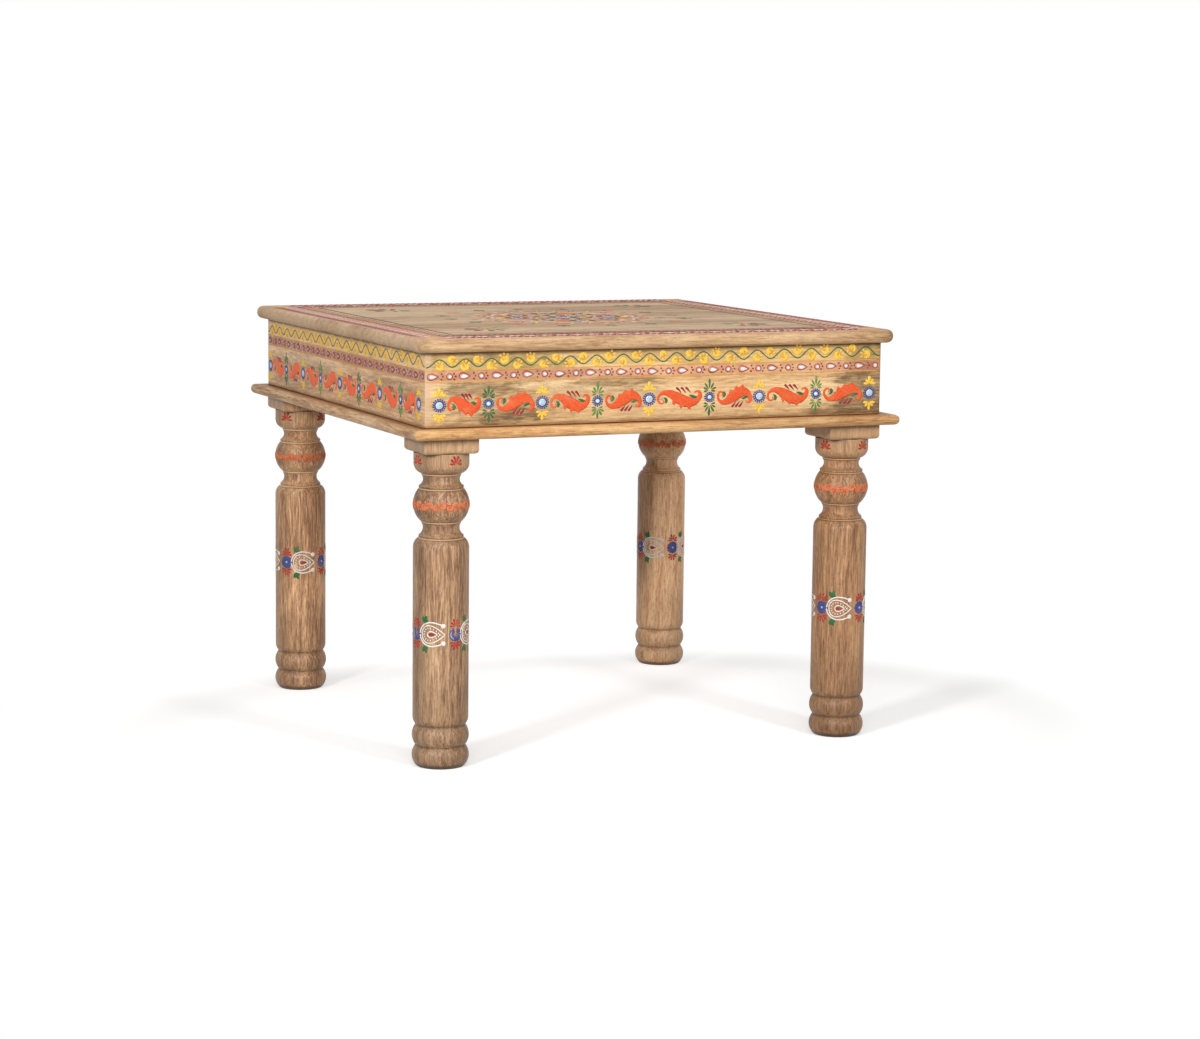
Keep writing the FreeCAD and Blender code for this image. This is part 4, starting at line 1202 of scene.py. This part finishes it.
# Rings of drops, leaves and dots: count, shift, outline, its sizes, tones, lift and level
MEDALLION_MARKS = (
    (16, 0.0, drop_outline, (15.0, 6.6, 16, 20.0), ("yellow", "red"), PAINT_LIFT, 0.0),
    (32, 0.5, leaf_outline, (9.0, 4.4, 12, 74.0), ("slate", "rose", "maroon", "white"), 0.26, 0.0),
    (32, 0.5, round_outline, (1.5, 10, 39.0), ("maroon", "white"), 0.3, 0.0),
    (16, 0.5, leaf_outline, (9.0, 3.6, 12, 27.0), ("slate",), 0.24, 0.0),
    (32, 0.5, drop_outline, (13.0, 8.0, 16, MEDALLION_RADIUS - 8), ("ochre", "scarlet"), PAINT_LIFT, 0.0),
    (32, 0.5, drop_outline, (8.0, 4.4, 12, MEDALLION_RADIUS - 4), ("white",), 0.2, 0.2),
    (32, 0.5, leaf_outline, (9.0, 3.2, 12, MEDALLION_RADIUS + 7), ("leaf", "rose"), PAINT_LIFT, 0.0),
)
# Waved rings: place in from the radius, width and tone
WAVED_RINGS = ((14, 2.6, "ember"), (18, 2.4, "white"), (22, 2.0, "ochre"))
WAVED_RING_STEPS = 120
WAVED_RING_REACH = 3.0


def paint_border(layer, number):
    """Border, corner leaf and corner spray of one side of the top, turned about the middle."""
    turn = number * pi / 2
    base = spot(0.0, 0.0, turn)
    pitch, half_length, width_share, lift = LONG_ROPE if number % 2 == 0 else SIDE_ROPE
    strands = int(ROPE_REACH / pitch)
    for inward, sense in ROPE_ROWS:
        for step in range(-strands, strands + 1):
            right = pitch * step + layer.nudge(0.4)
            rope = []
            for share, width in STRAND_SECTIONS:
                up = -TOP_HALF_MM + inward + STRAND_RISE * share * sense
                rope.append(base(right + half_length * share, up) + (width * width_share,))
            layer.stroke(rope, "maroon", lift)
    for step in range(-LEAF_REACH, LEAF_REACH + 1):
        put = spot(*base(LEAF_PITCH * step + layer.nudge(0.5), -TOP_HALF_MM + LEAF_ROW), turn)
        layer.blob(leaf_outline(put, 12.0, 8.4, 14, -6.0), "white", 0.26)
        layer.blob(leaf_outline(put, 6.4, 3.6, 12, -3.2), "rose", 0.2, 0.2)
        put = spot(*base(LEAF_PITCH * (step + 0.5), -TOP_HALF_MM + LEAF_ROW))
        layer.blob(round_outline(put, 2.4, 12), "red", 0.24)
    for step in range(-DOT_REACH, DOT_REACH + 1):
        put = spot(*base(DOT_PITCH * step + layer.nudge(0.4), -TOP_HALF_MM + DOT_ROW))
        layer.blob(round_outline(put, 1.4, 10), "maroon", 0.2)
    for inward, width, tone in BORDER_LINES:
        reach = TOP_HALF_MM - inward
        line = []
        for step in range(LINE_STEPS + 1):
            place = base(-reach + 2 * reach * step / LINE_STEPS, -reach)
            line.append(place + (layer.vary(width, 0.12),))
        layer.stroke(line, tone, 0.24)
    diagonal = turn - 3 * pi / 4
    corner_place = base(CORNER_LEAF_PLACE - TOP_HALF_MM, CORNER_LEAF_PLACE - TOP_HALF_MM)
    for angle, length, width in CORNER_LEAF:
        put = spot(*corner_place, diagonal + radians(angle))
        layer.blob(drop_outline(put, length, width, 16, -6.0), "yellow", 0.3)
    field_place = base(-FIELD_PLACE, -FIELD_PLACE)
    layer.blob(round_outline(spot(*field_place), 5.0), "ochre", 0.24)
    layer.blob(round_outline(spot(*field_place), 2.4, 12), "red", 0.2, 0.2)
    for angle, length, tone in FIELD_SPRAY:
        put = spot(*field_place, diagonal + radians(angle))
        layer.blob(drop_outline(put, length, 7.0, 16, 8.0), tone)
    for angle in FIELD_LEAVES:
        put = spot(*field_place, diagonal + radians(angle))
        layer.blob(leaf_outline(put, 15.0, 5.0, 14, 9.0), "leaf")


def paint_medallion(layer):
    """Flowers, curled leaves and rings round the middle of the top."""
    tick_flower(layer, 0.0, 0.0, 2.3, TOP_FLOWER)
    for step in range(8):
        angle = angle_of(step, 8)
        x, y = polar(FLOWER_RING, angle)
        size, flower = (1.8, TOP_SMALL_FLOWER) if step % 2 else (2.0, TOP_FLOWER)
        tick_flower(layer, x, y, size, flower, "slate")
        off_x, off_y = polar(FLOWER_FAN_REACH, angle)
        fan(layer, x + off_x, y + off_y, angle, YELLOW_FAN, "yellow")
        middle = angle + pi / 8
        leaf_place = polar(FLOWER_RING, middle)
        put = spot(*leaf_place, middle, 0.86, 0.8, 1.0 if step % 2 else -1.0)
        comma(layer, put, SCROLL_PATH, "flame" if step % 2 else "rose", 0.32)
        leaf = spot(*leaf_place, middle + pi / 2)
        layer.blob(leaf_outline(leaf, 12.0, 4.6, 14, 6.0), "green", 0.34)
    for count, shift, outline, sizes, tones, lift, level in MEDALLION_MARKS:
        for step in range(count):
            put = spot(0.0, 0.0, angle_of(step, count, shift))
            layer.blob(outline(put, *sizes), tones[step % len(tones)], lift, level)
    for inner, width, tone in WAVED_RINGS:
        ring = []
        for step in range(WAVED_RING_STEPS):
            angle = angle_of(step, WAVED_RING_STEPS)
            radius = MEDALLION_RADIUS - inner + WAVED_RING_REACH * cos(16 * angle)
            ring.append(polar(radius, angle) + (layer.vary(width, 0.1),))
        layer.stroke(ring, tone, 0.3, 0.0, True)
    for step in range(16):
        angle = angle_of(step, 16)
        x, y = polar(SPRAY_RING, angle)
        fan(layer, x, y, angle, SPRAY_FAN, SPRAY_TONES[step % 4])
        layer.blob(round_outline(spot(x, y), 2.6, 12), "red", 0.34)


def top_paint(seed):
    """The painted border, corners and medallion of the top."""

    def place(right, up, height):
        return Vector((right * MM, up * MM, TOP_LEVEL + height * MM))

    def medallion_place(right, up, height):
        return place(right * MEDALLION_SHARE, up * MEDALLION_SHARE, height)

    layer = PaintLayer(place, seed)
    for number in range(4):
        paint_border(layer, number)
    layer.place = medallion_place
    paint_medallion(layer)
    layer.piece("top_paint")


top_paint(300)

# Floor and background, white to the camera with a faint shadow near the legs
WHITE = (1.0, 1.0, 1.0, 1.0)
BLACK = (0.0, 0.0, 0.0, 1.0)
SHADOW_TONE = (0.95, 0.95, 0.95, 1.0)
FLOOR_TONE = (0.5, 0.5, 0.5, 1.0)
FLOOR_HALF = 30.0
FLOOR_CORNERS = ((-1, -1), (1, -1), (1, 1), (-1, 1))
# The shadow fades out round the table, and painted light under the table makes it weaker there: scale and
# shift of the floor, and range
FADE = ((1.0, 1.25, 1.0), (0.0, 0.15, 0.0), (0.42, 0.72))
UNDER_TABLE_GLOW = ((1.0, 1.0, 1.0), (-0.03, -0.08, 0.0), (0.12, 0.46, 0.2, 0.0))
LEAST_GLOW = 0.36
WORLD_LIGHT = 0.24

floor_mesh = bpy.data.meshes.new("floor")
floor_points = [(x * FLOOR_HALF, y * FLOOR_HALF, 0) for x, y in FLOOR_CORNERS]
floor_mesh.from_pydata(floor_points, [], [(0, 1, 2, 3)])
floor = bpy.data.objects.new("floor", floor_mesh)
scene.collection.objects.link(floor)


def seen_rays(graph):
    """One for what the camera sees, itself or by gloss and glass, and nothing for light on the table."""
    path = graph.make("LightPath").outputs
    seen = graph.most(path["Is Camera Ray"], path["Is Glossy Ray"])
    return graph.most(seen, path["Is Transmission Ray"])


def floor_range(graph, scale, shift, limits):
    """A range of the distance from a place, with the floor drawn out by a scale."""
    return graph.map(graph.vector("LENGTH", "Value", graph.stretch(scale, shift)), *limits)


floor_graph = Graph(bpy.data.materials.new("floor_white"))
fade = floor_range(floor_graph, *FADE)
glow_level = floor_graph.map(fade, 0.0, 1.0, LEAST_GLOW, 1.0)
# Painted light: the floor glows more under the table, where the table's shade falls
glow_level = floor_graph.plus(glow_level, floor_range(floor_graph, *UNDER_TABLE_GLOW))
glow = floor_graph.feed(floor_graph.make("Emission"), Color=WHITE, Strength=glow_level)
catch_tone = floor_graph.mix(fade, SHADOW_TONE, BLACK)
catch = floor_graph.feed(floor_graph.make("BsdfDiffuse"), Color=catch_tone)
both = floor_graph.feed(floor_graph.make("AddShader"), glow.outputs[0], catch.outputs[0])
plain = floor_graph.feed(floor_graph.make("BsdfDiffuse"), Color=FLOOR_TONE)
choose = floor_graph.make("MixShader")
floor_graph.feed(choose, seen_rays(floor_graph), plain.outputs[0], both.outputs[0])
floor_mesh.materials.append(floor_graph.close("OutputMaterial", choose))

scene.world = bpy.data.worlds.new("studio")
world_graph = Graph(scene.world)
world_level = world_graph.map(seen_rays(world_graph), 0.0, 1.0, WORLD_LIGHT, 1.0)
world_glow = world_graph.feed(world_graph.make("Background"), Color=WHITE, Strength=world_level)
world_graph.close("OutputWorld", world_glow)

# Soft square lights that look at the table: bearing, positive to the left, elevation, size and power
SOFTBOXES = {
    "front_softbox": (20, 18, 1.4, 28),
    "left_softbox": (51, 19, 0.35, 37),
    "right_softbox": (-14, 19, 0.35, 23),
    "top_softbox": (20, 74, 2.4, 17),
}
LIGHT_DISTANCE = 3.0
LIGHT_AIM = Vector((0.0, 0.0, 0.3))
for name, (bearing, elevation, size, power) in SOFTBOXES.items():
    turn, rise = radians(bearing), radians(elevation)
    way = Vector((-sin(turn) * cos(rise), -cos(turn) * cos(rise), sin(rise)))
    lamp = bpy.data.lights.new(name, "AREA")
    lamp.size = size
    lamp.energy = power
    softbox = bpy.data.objects.new(name, lamp)
    softbox.location = LIGHT_AIM + way * LIGHT_DISTANCE
    softbox.rotation_euler = (-way).to_track_quat("-Z", "Y").to_euler()
    scene.collection.objects.link(softbox)

# Camera of the photograph
EYE = Vector((-1.32518, -3.12524, 0.67281))
LENS = 91.8
SENSOR_WIDTH = 36.0
CLIP_END = 100.0
AZIMUTH, PITCH, ROLL = (radians(value) for value in (-23.718, 7.665, 0.640))
back = Vector((sin(AZIMUTH) * cos(PITCH), -cos(AZIMUTH) * cos(PITCH), sin(PITCH)))
level_right = Vector((cos(AZIMUTH), sin(AZIMUTH), 0.0))
level_up = back.cross(level_right)
right_way = level_right * cos(ROLL) + level_up * sin(ROLL)
up_way = level_up * cos(ROLL) - level_right * sin(ROLL)
camera_data = bpy.data.cameras.new("photo_camera")
camera_data.lens = LENS
camera_data.sensor_width = SENSOR_WIDTH
camera_data.sensor_fit = "HORIZONTAL"
camera_data.clip_end = CLIP_END
camera = bpy.data.objects.new("photo_camera", camera_data)
camera.matrix_world = Matrix((right_way, up_way, back)).transposed().to_4x4()
camera.location = EYE
scene.collection.objects.link(camera)
scene.camera = camera
scene.view_settings.view_transform = "Standard"
